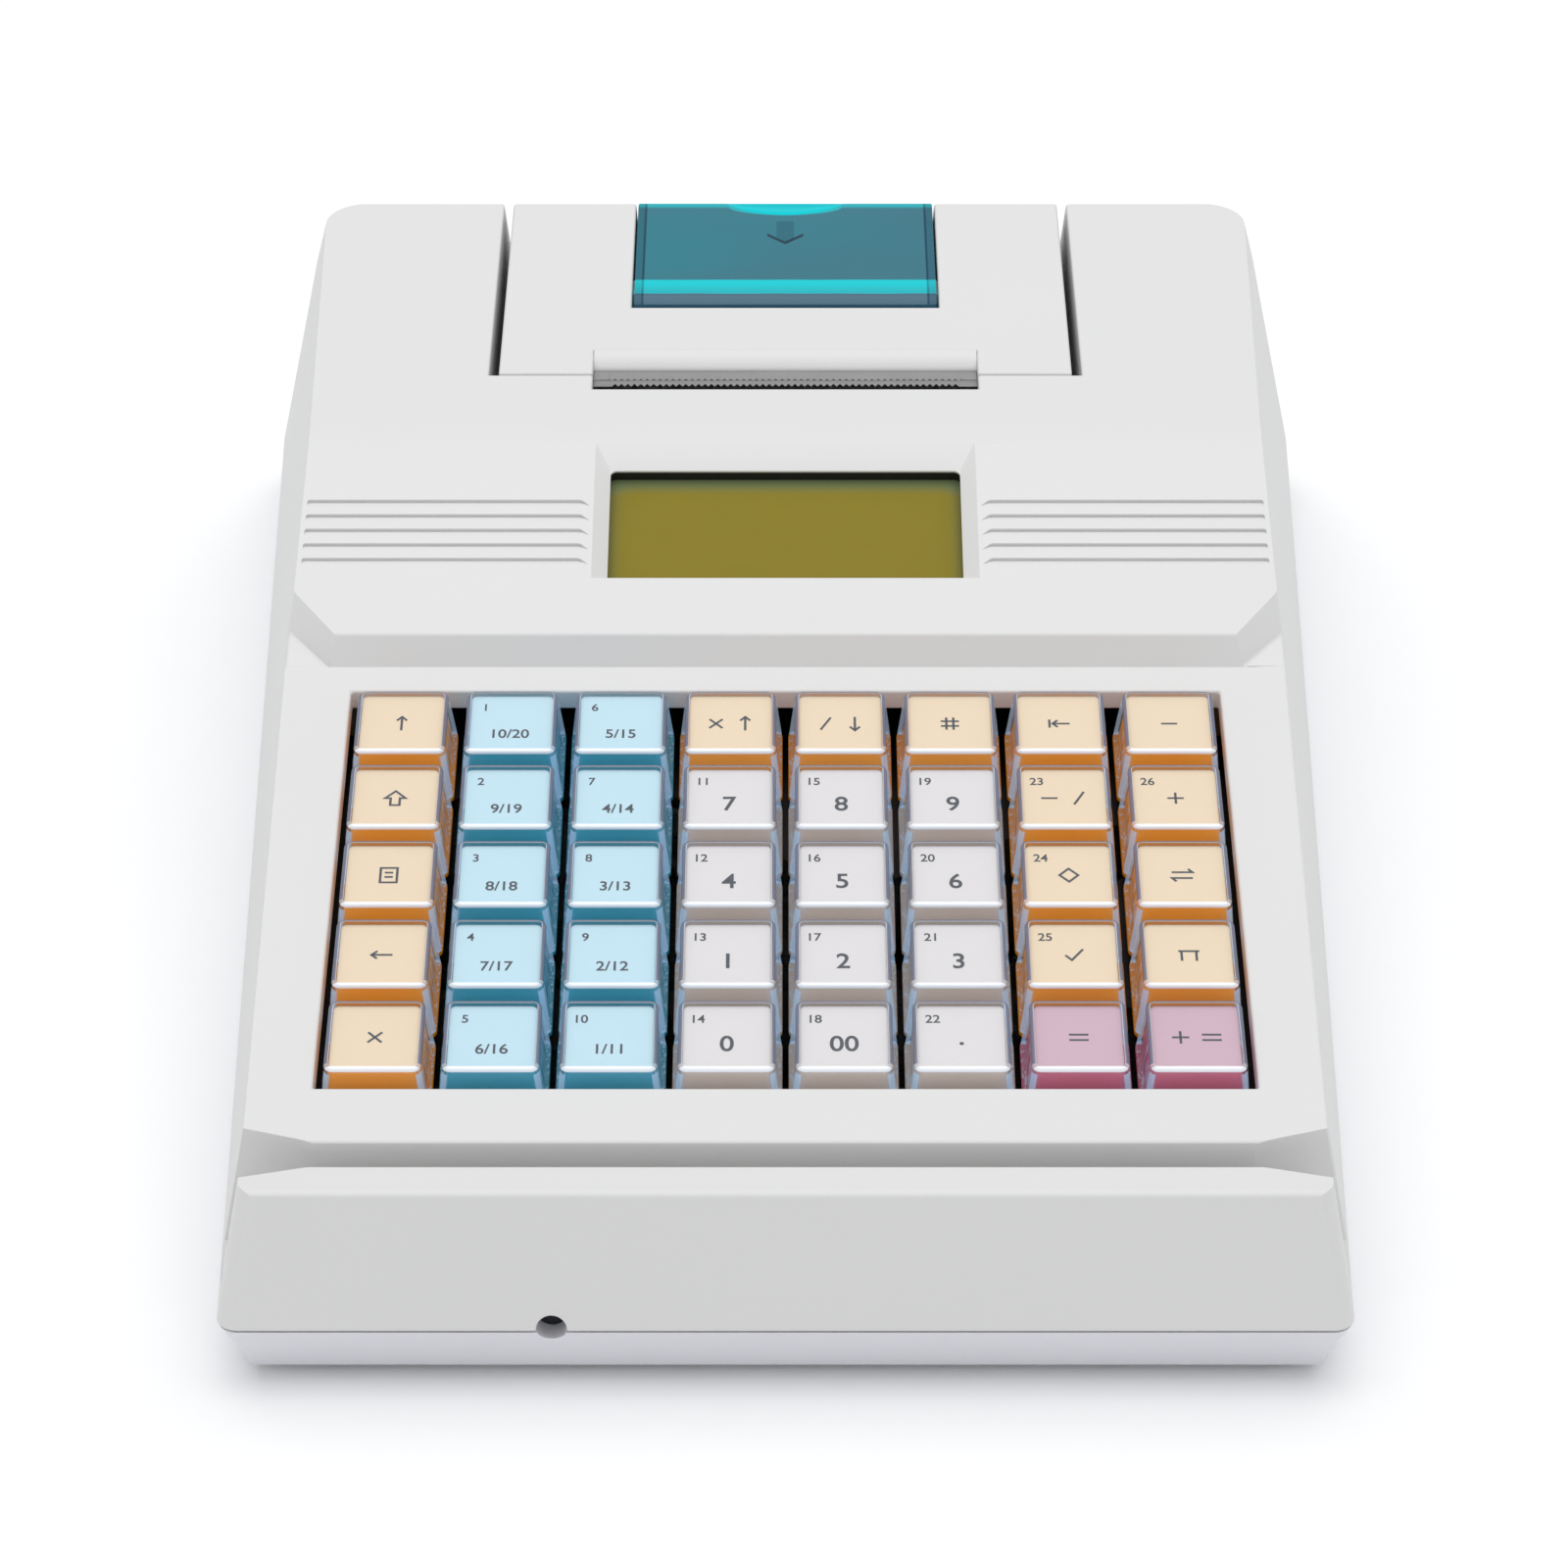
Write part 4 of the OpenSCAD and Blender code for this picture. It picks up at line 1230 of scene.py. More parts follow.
    def make(
        self, name: str, finish: Finish, body: str, cutter: bpy.types.Mesh | None = None
    ) -> bpy.types.Object:
        """Builds the rounded copy in place of its node.

        Args:
            name: The node's name.
            finish: Its finish.
            body: The body that it rides on.
            cutter: A solid to take away first, if any.

        Returns:
            The copy.
        """
        built = self.clean(bpy.data.objects[name], cutter)
        weight = built.edges.layers.float.new("bevel_weight_edge")
        for edge in self.rounded(built):
            edge[weight] = self.slim if self.is_slim(edge) else 1.0
        carrier = linked("rounding", finish_mesh(built, "rounding", sharp=40))
        bevel = carrier.modifiers.new("round_edges", "BEVEL")
        bevel.limit_method = "WEIGHT"
        bevel.width = self.radius
        bevel.segments = self.segments
        bevel.use_clamp_overlap = False
        mesh = evaluated(carrier)
        self.shade_by_area(mesh)
        piece = add_piece(f"{name}_moulding", mesh, finish, body)
        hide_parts(name)
        return piece


@dataclass(frozen=True)
class Slope:
    """Axes of a sloping deck: X to the right, Y up the slope and Z out of it."""

    tilt: float

    def axes(self) -> Matrix:
        """Gives the turn from the deck's axes to the frame's."""
        return Matrix.Rotation(self.tilt, 4, "X")

    def extent(self, node: bpy.types.Object) -> tuple[Vector, Vector]:
        """Measures a node along the deck's axes.

        Args:
            node: The node's object.

        Returns:
            Its lowest and highest corner on the deck's axes.
        """
        back = self.axes().inverted()
        points = [back @ vertex.co for vertex in node.data.vertices]
        low = Vector([min(p[i] for p in points) for i in range(3)])
        high = Vector([max(p[i] for p in points) for i in range(3)])
        return low, high


@dataclass(frozen=True)
class RearEdge:
    """The line where the top deck meets the 45 degree corner behind it."""

    y: float
    z: float
    fall: Vector = Vector((0, 1, -1)).normalized()

    @classmethod
    def find(cls) -> RearEdge:
        """Finds it from the housing's sloping corner and its highest point.

        Returns:
            The edge.
        """
        corner = widest(bpy.data.objects["upper_housing"], Vector((0, 1, 1)).normalized())
        _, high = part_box("upper_housing")
        return cls(corner.center.y + corner.center.z - high.z, high.z)


def widest(node: bpy.types.Object, way: Vector) -> bpy.types.MeshPolygon:
    """Finds a node's largest face among those that look one way.

    Args:
        node: The node's object.
        way: The direction that the face looks in, of length 1.

    Returns:
        The face.
    """
    facing = [face for face in node.data.polygons if face.normal.dot(way) > FACING]
    return max(facing, key=lambda face: face.area)


def top_height(node: bpy.types.Object, y: float) -> float:
    """Gives the height of a node's top face, carried on to a place along Y."""
    face = widest(node, Vector((0, 0, 1)))
    return face.center.z - (y - face.center.y) * face.normal.y / face.normal.z


# Sub-assemblies


class Sign(Enum):
    """Plain signs, as strokes on a grid that runs from -1 to 1 both ways."""

    UP = (((0, -1), (0, 1)), ((-0.5, 0.45), (0, 1), (0.5, 0.45)))
    DOWN = (((0, 1), (0, -1)), ((-0.5, -0.45), (0, -1), (0.5, -0.45)))
    LEFT = (((1, 0), (-1, 0)), ((-0.45, 0.5), (-1, 0), (-0.45, -0.5)))
    BAR_LEFT = (
        ((1, 0), (-0.7, 0)),
        ((-0.2, 0.5), (-0.7, 0), (-0.2, -0.5)),
        ((-1, -0.6), (-1, 0.6)),
    )
    SHIFT = (
        ((-0.45, -1), (-0.45, 0), (-1, 0), (0, 1), (1, 0), (0.45, 0), (0.45, -1), (-0.45, -1)),
    )
    SWAP = (
        ((-1, 0.4), (1, 0.4), (0.6, 0.85)),
        ((1, -0.4), (-1, -0.4), (-0.6, -0.85)),
    )
    SHEET = (
        ((-0.8, -1), (-0.8, 1), (0.8, 1), (0.8, -1), (-0.8, -1)),
        ((-0.4, 0.35), (0.4, 0.35)),
        ((-0.4, -0.25), (0.4, -0.25)),
    )
    TABLE = (((-1, 0.5), (1, 0.5)), ((-0.7, 0.5), (-0.7, -0.8)), ((0.7, 0.5), (0.7, -0.8)))
    DIAMOND = (((0, -0.9), (0.9, 0), (0, 0.9), (-0.9, 0), (0, -0.9)),)
    PLUS = (((-0.8, 0), (0.8, 0)), ((0, -0.8), (0, 0.8)))
    MINUS = (((-0.8, 0), (0.8, 0)),)
    TIMES = (((-0.65, -0.65), (0.65, 0.65)), ((-0.65, 0.65), (0.65, -0.65)))
    EQUALS = (((-0.9, 0.35), (0.9, 0.35)), ((-0.9, -0.35), (0.9, -0.35)))
    SLASH = (((-0.5, -0.9), (0.5, 0.9)),)
    HASH = (
        ((-0.9, 0.35), (0.9, 0.35)),
        ((-0.9, -0.35), (0.9, -0.35)),
        ((-0.35, -0.9), (-0.35, 0.9)),
        ((0.35, -0.9), (0.35, 0.9)),
    )
    TICK = (((-0.8, -0.05), (-0.2, -0.7), (0.9, 0.75)),)


@dataclass
class Print:
    """Flat print: lines of figures and drawn signs."""

    stroke: float = 0.42 * MM
    figure_share: float = 0.72
    weight: float = 0.014
    sign_pitch: float = 1.45
    mitre_limit: float = 0.4
    joined: float = 0.001 * MM
    built: bmesh.types.BMesh = field(default_factory=bmesh.new)

    def figures(self, text: str, height: float, x: float, y: float) -> None:
        """Adds a line of figures.

        Args:
            text: The figures.
            height: Their height.
            x: Middle of the line.
            y: Its mid-height.
        """
        curve = bpy.data.curves.new("figures", "FONT")
        curve.body = text
        curve.size = height / self.figure_share
        curve.offset = self.weight * curve.size
        carrier = linked("figures", curve)
        mesh = bpy.data.meshes.new_from_object(carrier)
        bpy.data.objects.remove(carrier)
        bpy.data.curves.remove(curve)
        for axis, wanted in enumerate((x, y)):
            ends = [vertex.co[axis] for vertex in mesh.vertices]
            shift = wanted - (min(ends) + max(ends)) / 2
            for vertex in mesh.vertices:
                vertex.co[axis] += shift
        self.built.from_mesh(mesh)
        bpy.data.meshes.remove(mesh)

    def signs(self, signs: Sequence[Sign], height: float, x: float, y: float) -> None:
        """Adds a row of signs.

        Args:
            signs: The signs, from the left.
            height: Their height.
            x: Middle of the row.
            y: Its mid-height.
        """
        pitch = self.sign_pitch * height
        for place, sign in enumerate(signs):
            centre = Vector((x + (place - (len(signs) - 1) / 2) * pitch, y, 0))
            for line in sign.value:
                self.band([centre + Vector((u, v, 0)) * height / 2 for u, v in line])

    def band(self, points: list[Vector]) -> None:
        """Adds a band of the stroke's width along a line, mitred where the line turns.

        Args:
            points: The line's points. A line that ends where it starts is closed.
        """
        closed = (points[0] - points[-1]).length < self.joined
        corners = points[:-1] if closed else points
        count = len(corners)
        pairs = []
        for i, corner in enumerate(corners):
            across = []
            if closed or i > 0:
                across.append(self.aside(corners[i - 1], corner))
            if closed or i < count - 1:
                across.append(self.aside(corner, corners[(i + 1) % count]))
            mitre = sum(across, Vector()).normalized()
            reach = mitre * (self.stroke / 2 / max(mitre.dot(across[0]), self.mitre_limit))
            pairs.append([self.built.verts.new(corner + side) for side in (reach, -reach)])
        for i in range(count if closed else count - 1):
            first, second = pairs[i], pairs[(i + 1) % count]
            self.built.faces.new((first[0], first[1], second[1], second[0]))

    def aside(self, start: Vector, end: Vector) -> Vector:
        """Gives the direction to the left of a run."""
        way = (end - start).normalized()
        return Vector((-way.y, way.x, 0))

    def mesh(self, name: str) -> bpy.types.Mesh:
        """Hands the print over as a mesh that faces up.

        Args:
            name: The mesh's name.

        Returns:
            The mesh.
        """
        bmesh.ops.recalc_face_normals(self.built, faces=self.built.faces)
        for face in self.built.faces:
            if face.normal.z < 0:
                face.normal_flip()
        return finish_mesh(self.built, name)


class KeyGroup(Enum):
    """The groups that the keys' colours tell apart: slot, label card and base."""

    FUNCTION = ("key_cream", (243, 220, 188), (230, 144, 8))
    DEPARTMENT = ("key_blue", (200, 231, 243), (46, 146, 172))
    NUMBER = ("key_white", (231, 226, 225), (194, 178, 168))
    TOTAL = ("key_rose", (214, 178, 192), (192, 93, 121))

    @property
    def slot(self) -> str:
        """The record's material slot."""
        return self.value[0]


@dataclass
class KeyBlock:
    """Forty keys: a coloured base, a label card with its print, and a clear cap each."""

    frame: Mapping[str, object]
    rows: int = 5
    columns: int = 8
    foot: float = 18.0 * MM
    top: float = 15.7 * MM
    skirt: float = 1.0 * MM
    wall: float = 0.7 * MM
    edge_r: float = 0.55 * MM
    corner_foot: float = 1.4 * MM
    corner_top: float = 1.5 * MM
    card_t: float = 0.3 * MM
    figure_h: float = 3.5 * MM
    figure_y: float = -1.4 * MM
    pair_h: float = 2.2 * MM
    pair_y: float = -2.6 * MM
    index_h: float = 1.8 * MM
    index_x: float = -4.6 * MM
    index_y: float = 4.2 * MM
    sign_h: float = 3.5 * MM
    print_lift: float = 0.02 * MM
    play: float = 0.05 * MM
    foot_play: float = 0.25 * MM
    card_play: float = 0.1 * MM
    chamfer: float = 0.2 * MM
    brim: float = 0.15 * MM
    inset: float = 0.5 * MM
    inner_r: float = 0.3 * MM
    inner_inset: float = 0.4 * MM

    FIGURES = (("7", "8", "9"), ("4", "5", "6"), ("1", "2", "3"), ("0", "00", "."))
    SIGNS = {
        (1, 1): (Sign.UP,),
        (2, 1): (Sign.SHIFT,),
        (3, 1): (Sign.SHEET,),
        (4, 1): (Sign.LEFT,),
        (5, 1): (Sign.TIMES,),
        (1, 4): (Sign.TIMES, Sign.UP),
        (1, 5): (Sign.SLASH, Sign.DOWN),
        (1, 6): (Sign.HASH,),
        (1, 7): (Sign.BAR_LEFT,),
        (2, 7): (Sign.MINUS, Sign.SLASH),
        (3, 7): (Sign.DIAMOND,),
        (4, 7): (Sign.TICK,),
        (5, 7): (Sign.EQUALS,),
        (1, 8): (Sign.MINUS,),
        (2, 8): (Sign.PLUS,),
        (3, 8): (Sign.SWAP,),
        (4, 8): (Sign.TABLE,),
        (5, 8): (Sign.PLUS, Sign.EQUALS),
    }
    INDEXED_FUNCTIONS = ((2, 7), (3, 7), (4, 7), (2, 8))
    DEPARTMENT_COLUMNS = (2, 3)
    NUMBER_COLUMNS = (4, 5, 6)

    def group(self, row: int, column: int) -> KeyGroup:
        """Tells which group a key belongs to.

        Args:
            row: The key's row, 1 at the back.
            column: The key's column, 1 at the left.

        Returns:
            The key's group.
        """
        if column in self.DEPARTMENT_COLUMNS:
            return KeyGroup.DEPARTMENT
        if row == self.rows and column > self.NUMBER_COLUMNS[-1]:
            return KeyGroup.TOTAL
        if row > 1 and column in self.NUMBER_COLUMNS:
            return KeyGroup.NUMBER
        return KeyGroup.FUNCTION

    def slope(self) -> Slope:
        """Takes the deck's tilt from the way that a key travels."""
        travel = next(j for j in self.frame["joints"] if j["child"] == "key_1_1")["axis"]
        return Slope(math.asin(travel[1]))

    def indexes(self) -> dict[tuple[int, int], int]:
        """Counts the keys that carry a small index number, column by column.

        Returns:
            The number of each such key, by row and column.
        """
        counted = [
            (row, column)
            for column in range(2, self.columns + 1)
            for row in range(1, self.rows + 1)
            if self.group(row, column) in (KeyGroup.DEPARTMENT, KeyGroup.NUMBER)
            or (row, column) in self.INDEXED_FUNCTIONS
        ]
        return {place: number for number, place in enumerate(counted, 1)}

    def squares(self, name: str, levels: Iterable[tuple[float, float, float]]) -> bpy.types.Mesh:
        """Builds a mesh from squares, given by half side, corner radius and height."""
        return stacked(name, ((half, half, corner, z) for half, corner, z in levels))

    def rounding(
        self, half: float, corner: float, top: float, radius: float, steps: int
    ) -> list[tuple[float, float, float]]:
        """Works out the squares of a rounded top edge.

        Args:
            half: Half side where the rounding begins.
            corner: Radius of the squares' corners.
            top: Height where the rounding ends.
            radius: The edge's radius.
            steps: Squares less one.

        Returns:
            The squares, from the upright wall to the flat top.
        """
        turns = [math.pi / 2 * step / steps for step in range(steps + 1)]
        return [
            (half - radius * (1 - math.cos(turn)), corner, top - radius * (1 - math.sin(turn)))
            for turn in turns
        ]

    def base_mesh(self, height: float) -> bpy.types.Mesh:
        """Builds a base: a flange at its foot and a tapering body under the card.

        Args:
            height: The key's height.

        Returns:
            The mesh.
        """
        foot = self.foot / 2
        inner_foot = foot - self.wall - self.foot_play
        inner_top = self.top / 2 - self.wall - self.play
        corner = self.corner_top - self.inset
        under_card = height - self.wall - self.card_t - self.card_play
        levels = (
            (foot - self.chamfer, self.corner_foot, 0.0),
            (foot, self.corner_foot, self.chamfer),
            (foot, self.corner_foot, self.skirt - self.brim),
            (foot - self.brim, self.corner_foot, self.skirt),
            (inner_foot, self.corner_foot - self.inset, self.skirt),
            (inner_top, corner, under_card - self.chamfer),
            (inner_top - self.brim, corner - self.card_play, under_card),
        )
        return self.squares("key_base", levels)

    def card_mesh(self, height: float) -> bpy.types.Mesh:
        """Builds a label card that fills the cap.

        Args:
            height: The key's height.

        Returns:
            The mesh.
        """
        half = self.top / 2 - self.wall - self.play
        high = height - self.wall - self.play
        corner = self.corner_top - self.inset
        return self.squares("key_card", ((half, corner, z) for z in (high - self.card_t, high)))

    def cap_lean(self, height: float) -> float:
        """Gives how far the cap's walls spread for each unit of depth."""
        return (self.foot / 2 - self.play - self.top / 2) / (height - self.skirt)

    def cap_mesh(self, height: float) -> bpy.types.Mesh:
        """Builds a hollow clear cap with a rounded top edge.

        Args:
            height: The key's height.

        Returns:
            The mesh.
        """
        low, foot = self.skirt + self.play, self.foot / 2 - self.play
        lean = self.cap_lean(height)
        inside = self.top / 2 - self.wall + lean * (self.wall + self.inner_r)
        outside = self.top / 2 + lean * self.edge_r
        inner_corner, ceiling = self.corner_top - self.inner_inset, height - self.wall
        levels = [
            *self.rounding(inside, inner_corner, ceiling, self.inner_r, 2)[::-1],
            (foot - self.wall, self.corner_foot - self.inner_inset, low),
            (foot, self.corner_foot, low),
            *self.rounding(outside, self.corner_top, height, self.edge_r, 4),
        ]
        return self.squares("key_cap", levels)

    def print_mesh(self, row: int, column: int, index: int | None) -> bpy.types.Mesh:
        """Prints what a key's card shows.

        Args:
            row: The key's row.
            column: The key's column.
            index: Its small index number, if it has one.

        Returns:
            The print.
        """
        shown = Print()
        group = self.group(row, column)
        if group is KeyGroup.NUMBER:
            figure = self.FIGURES[row - 2][column - self.NUMBER_COLUMNS[0]]
            shown.figures(figure, self.figure_h, 0, self.figure_y)
        elif group is KeyGroup.DEPARTMENT:
            passed = self.rows * (column - self.DEPARTMENT_COLUMNS[0])
            number = 2 * self.rows + 1 - row - passed
            pair = f"{number}/{number + 2 * self.rows}"
            shown.figures(pair, self.pair_h, 0, self.pair_y)
        else:
            shown.signs(self.SIGNS[row, column], self.sign_h, 0, 0)
        if index is not None:
            shown.figures(str(index), self.index_h, self.index_x, self.index_y)
        return shown.mesh(f"key_{row}_{column}_print")

    def build(self) -> None:
        """Builds every key on its own body."""
        slope = self.slope()
        nodes = self.frame["nodes"]
        low, high = slope.extent(nodes["key_1_1"])
        height = high.z - low.z
        cap = ClearCap("clear_cap", self.top / 2, height, self.cap_lean(height), self.edge_r)
        shapes = {
            "base": self.base_mesh(height),
            "card": self.card_mesh(height),
            "cap": self.cap_mesh(height),
        }
        indexes = self.indexes()
        print_place = Matrix.Translation((0, 0, height - self.wall - self.print_lift))
        for row in range(1, self.rows + 1):
            for column in range(1, self.columns + 1):
                key = f"key_{row}_{column}"
                low, high = slope.extent(nodes[key])
                foot = Vector(((low.x + high.x) / 2, (low.y + high.y) / 2, low.z))
                place = slope.axes() @ Matrix.Translation(foot)
                slot, card, base = self.group(row, column).value
                finishes = {
                    "base": KeyBase(f"{slot}_base", display_colour(*base), height),
                    "card": Card(f"{slot}_card", display_colour(*card)),
                    "cap": cap,
                }
                made = [
                    add_piece(f"{key}_{part}", shape.copy(), finishes[part], key, place)
                    for part, shape in shapes.items()
                ]
                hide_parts(key)
                shown = self.print_mesh(row, column, indexes.get((row, column)))
                add_piece(f"{key}_print", shown, Palette.ink, key, place @ print_place)


@dataclass
class Display:
    """Display module: a black bezel, the glass cell and the board behind them."""

    frame: Mapping[str, object]
    tilt: float = math.radians(16.3)
    bezel_w: float = 71 * MM
    bezel_h: float = 36 * MM
    window_w: float = 64.2 * MM
    window_h: float = 28.6 * MM
    cell_drop: float = 2.0 * MM
    board_drop: float = 6.4 * MM
    board_t: float = 1.6 * MM
    board_r: float = 1.0 * MM
    cell_t: float = 1.1 * MM
    cell_r: float = 0.5 * MM
    cell_over: float = 0.8 * MM
    bezel_r: float = 1.5 * MM
    window_r: float = 1.2 * MM

    def build(self) -> None:
        """Builds the bezel, the cell and the board in place of the plain module."""
        slope = Slope(self.tilt)
        low, high = slope.extent(self.frame["nodes"]["lcd_module"])
        middle = Vector(((low.x + high.x) / 2, (low.y + high.y) / 2, high.z))
        place = slope.axes() @ Matrix.Translation(middle)
        bezel = add_piece(
            "display_bezel", self.bezel_mesh(), Palette.bezel, "case", place
        )
        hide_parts("lcd_module")
        half_w, half_h = self.window_w / 2, self.window_h / 2
        glass = LiquidCrystal(
            "liquid_crystal",
            middle=display_colour(140, 126, 38),
            edge=display_colour(112, 124, 86),
            half_width=half_w,
            low=-half_h,
            high=half_h,
        )
        cell = (half_w + self.cell_over, half_h + self.cell_over, self.cell_r)
        board = ((high.x - low.x) / 2, (high.y - low.y) / 2, self.board_r)
        for name, outline, drop, thick, finish, slot in (
            ("display_cell", cell, self.cell_drop, self.cell_t, glass, "display_black"),
            ("display_board", board, self.board_drop, self.board_t, Palette.board, "board_green"),
        ):
            mesh = stacked(name, ((*outline, z) for z in (-drop - thick, -drop)))
            add_piece(name, mesh, finish, "case", place)

    def bezel_mesh(self) -> bpy.types.Mesh:
        """Builds a frame that is closed all round its window.

        Returns:
            The mesh.
        """
        outer = (self.bezel_w / 2, self.bezel_h / 2, self.bezel_r)
        inner = (self.window_w / 2, self.window_h / 2, self.window_r)
        low = -self.board_drop
        levels = ((*outer, low), (*outer, 0.0), (*inner, 0.0), (*inner, low))
        return stacked("display_bezel", levels, hollow=True)


@dataclass
class Casework:
    """Housing, tray, cover and feet, with round rear corners and the cover's rolled lip."""

    frame: Mapping[str, object]
    corner_r: float = 8.0 * MM
    corner_drop: float = 14.8 * MM
    corner_steps: int = 14
    corner_under: float = 0.6 * MM
    over: float = 2.0 * MM
    exit_half: float = 35.9 * MM
    exit_play: float = 0.03 * MM
    lip_root: float = 7.86 * MM
    lip_r: float = 5.2 * MM
    lip_start: float = 5.0
    lip_end: float = 55.0
    lip_steps: int = 12
    lip_sink: float = 0.3 * MM
    lip_foot: float = 0.05 * MM
    exit_rise: float = 8.0 * MM
    edge_r: float = 0.25 * MM
    seam: float = 0.02 * MM
    side_way: Vector = Vector((1, 0, 0.19)).normalized()

    def build(self) -> None:
        """Dresses the mouldings."""
        _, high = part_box("printer_cover")
        soft = Recast(slim_x=(high.x - self.over, high.x + self.over))
        fine = Softening(radius=self.edge_r)
        soft.make("upper_housing", Palette.case, "case", self.corner_cutter())
        soft.make("base_tray", Palette.tray, "case")
        soft.make("printer_cover", Palette.case, "cover", self.lip_cutter())
        add_piece("cover_lip", self.lip_mesh(), Palette.case, "cover")
        dress(self.frame, "rubber_feet", Palette.rubber, fine)
        dress(self.frame, "housing_screws", Palette.screw, fine)

    def corner_cutter(self) -> bpy.types.Mesh:
        """Builds what lies outside the round corners behind the top deck.

        Returns:
            A closed prism for each corner, which slopes with the corner's 45 degree face.
        """
        edge = RearEdge.find()
        side = widest(bpy.data.objects["upper_housing"], self.side_way)
        normal, reach = side.normal, side.normal.dot(side.center)
        start = math.atan2(normal.y, normal.x)
        built = bmesh.new()
        for mirror in (-1, 1):
            rings = Rings()
            for drop in (-self.over, self.corner_drop + self.corner_under):
                y, z = edge.y + drop, edge.z - drop
                middle_y = y - self.corner_r
                room = reach - normal.z * z - normal.y * middle_y
                middle_x = (room - self.corner_r * math.hypot(normal.x, normal.y)) / normal.x
                turns = [
                    start + (math.pi / 2 - start) * step / self.corner_steps
                    for step in range(self.corner_steps + 1)
                ]
                ring = [
                    (middle_x + self.corner_r * math.cos(a), middle_y + self.corner_r * math.sin(a))
                    for a in turns
                ]
                far = middle_x + self.corner_r + self.over
                ring += [(middle_x, y + self.over), (far, y + self.over), (far, ring[0][1])]
                rings.rings.append([Vector((mirror * px, py, z)) for px, py in ring])
            built.from_mesh(rings.mesh("corner"))
        return finish_mesh(built, "corners")

    def lip_cutter(self) -> bpy.types.Mesh:
        """Builds the block that clears the paper exit in the cover.

        Returns:
            The block.
        """
        low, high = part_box("tear_bar")
        half = self.exit_half + self.exit_play
        front, back = low.y - self.over, low.y + self.lip_root
        corners = ((-half, front), (half, front), (half, back), (-half, back))
        rings = Rings()
        for z in (high.z - self.over, high.z + self.exit_rise):
            rings.rings.append([Vector((x, y, z)) for x, y in corners])
        return rings.mesh("exit")

    def lip_mesh(self) -> bpy.types.Mesh:
        """Rolls the lip down from the cover's top to the serrated strip.

        Returns:
            The mesh.
        """
        low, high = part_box("tear_bar")
        root, foot = low.y + self.lip_root, high.z + self.seam
        top = top_height(bpy.data.objects["printer_cover"], root)
        begin, end = math.radians(self.lip_start), math.radians(self.lip_end)
        middle_y = root + self.lip_r * math.sin(begin)
        middle_z = top - self.lip_r * math.cos(begin)
        under, back = top - self.lip_sink, root + self.over / 2
        profile = [(back, under), (root, under)]
        for step in range(self.lip_steps + 1):
            turn = begin + (end - begin) * step / self.lip_steps
            profile.append(
                (middle_y - self.lip_r * math.sin(turn), middle_z + self.lip_r * math.cos(turn))
            )
        profile += [(profile[-1][0] - self.lip_foot, foot), (back, foot)]
        rings = Rings()
        for x in (-self.exit_half, self.exit_half):
            rings.rings.append([Vector((x, y, z)) for y, z in profile])
        return rings.mesh("cover_lip")


@dataclass
class Electronics:
    """Boards, switches, sockets and card reader."""

    frame: Mapping[str, object]
    edge_r: float = 0.15 * MM

    def build(self) -> None:
        """Dresses what lies inside the case."""
        for name, finish in (
            ("switch_plate", Palette.plate),
            ("key_switches", Palette.black),
            ("keyboard_pcb", Palette.board),
            ("main_board", Palette.board),
            ("rear_ports", Palette.black),
            ("card_reader", Palette.black),
        ):
            dress(self.frame, name, finish, Softening(radius=self.edge_r))


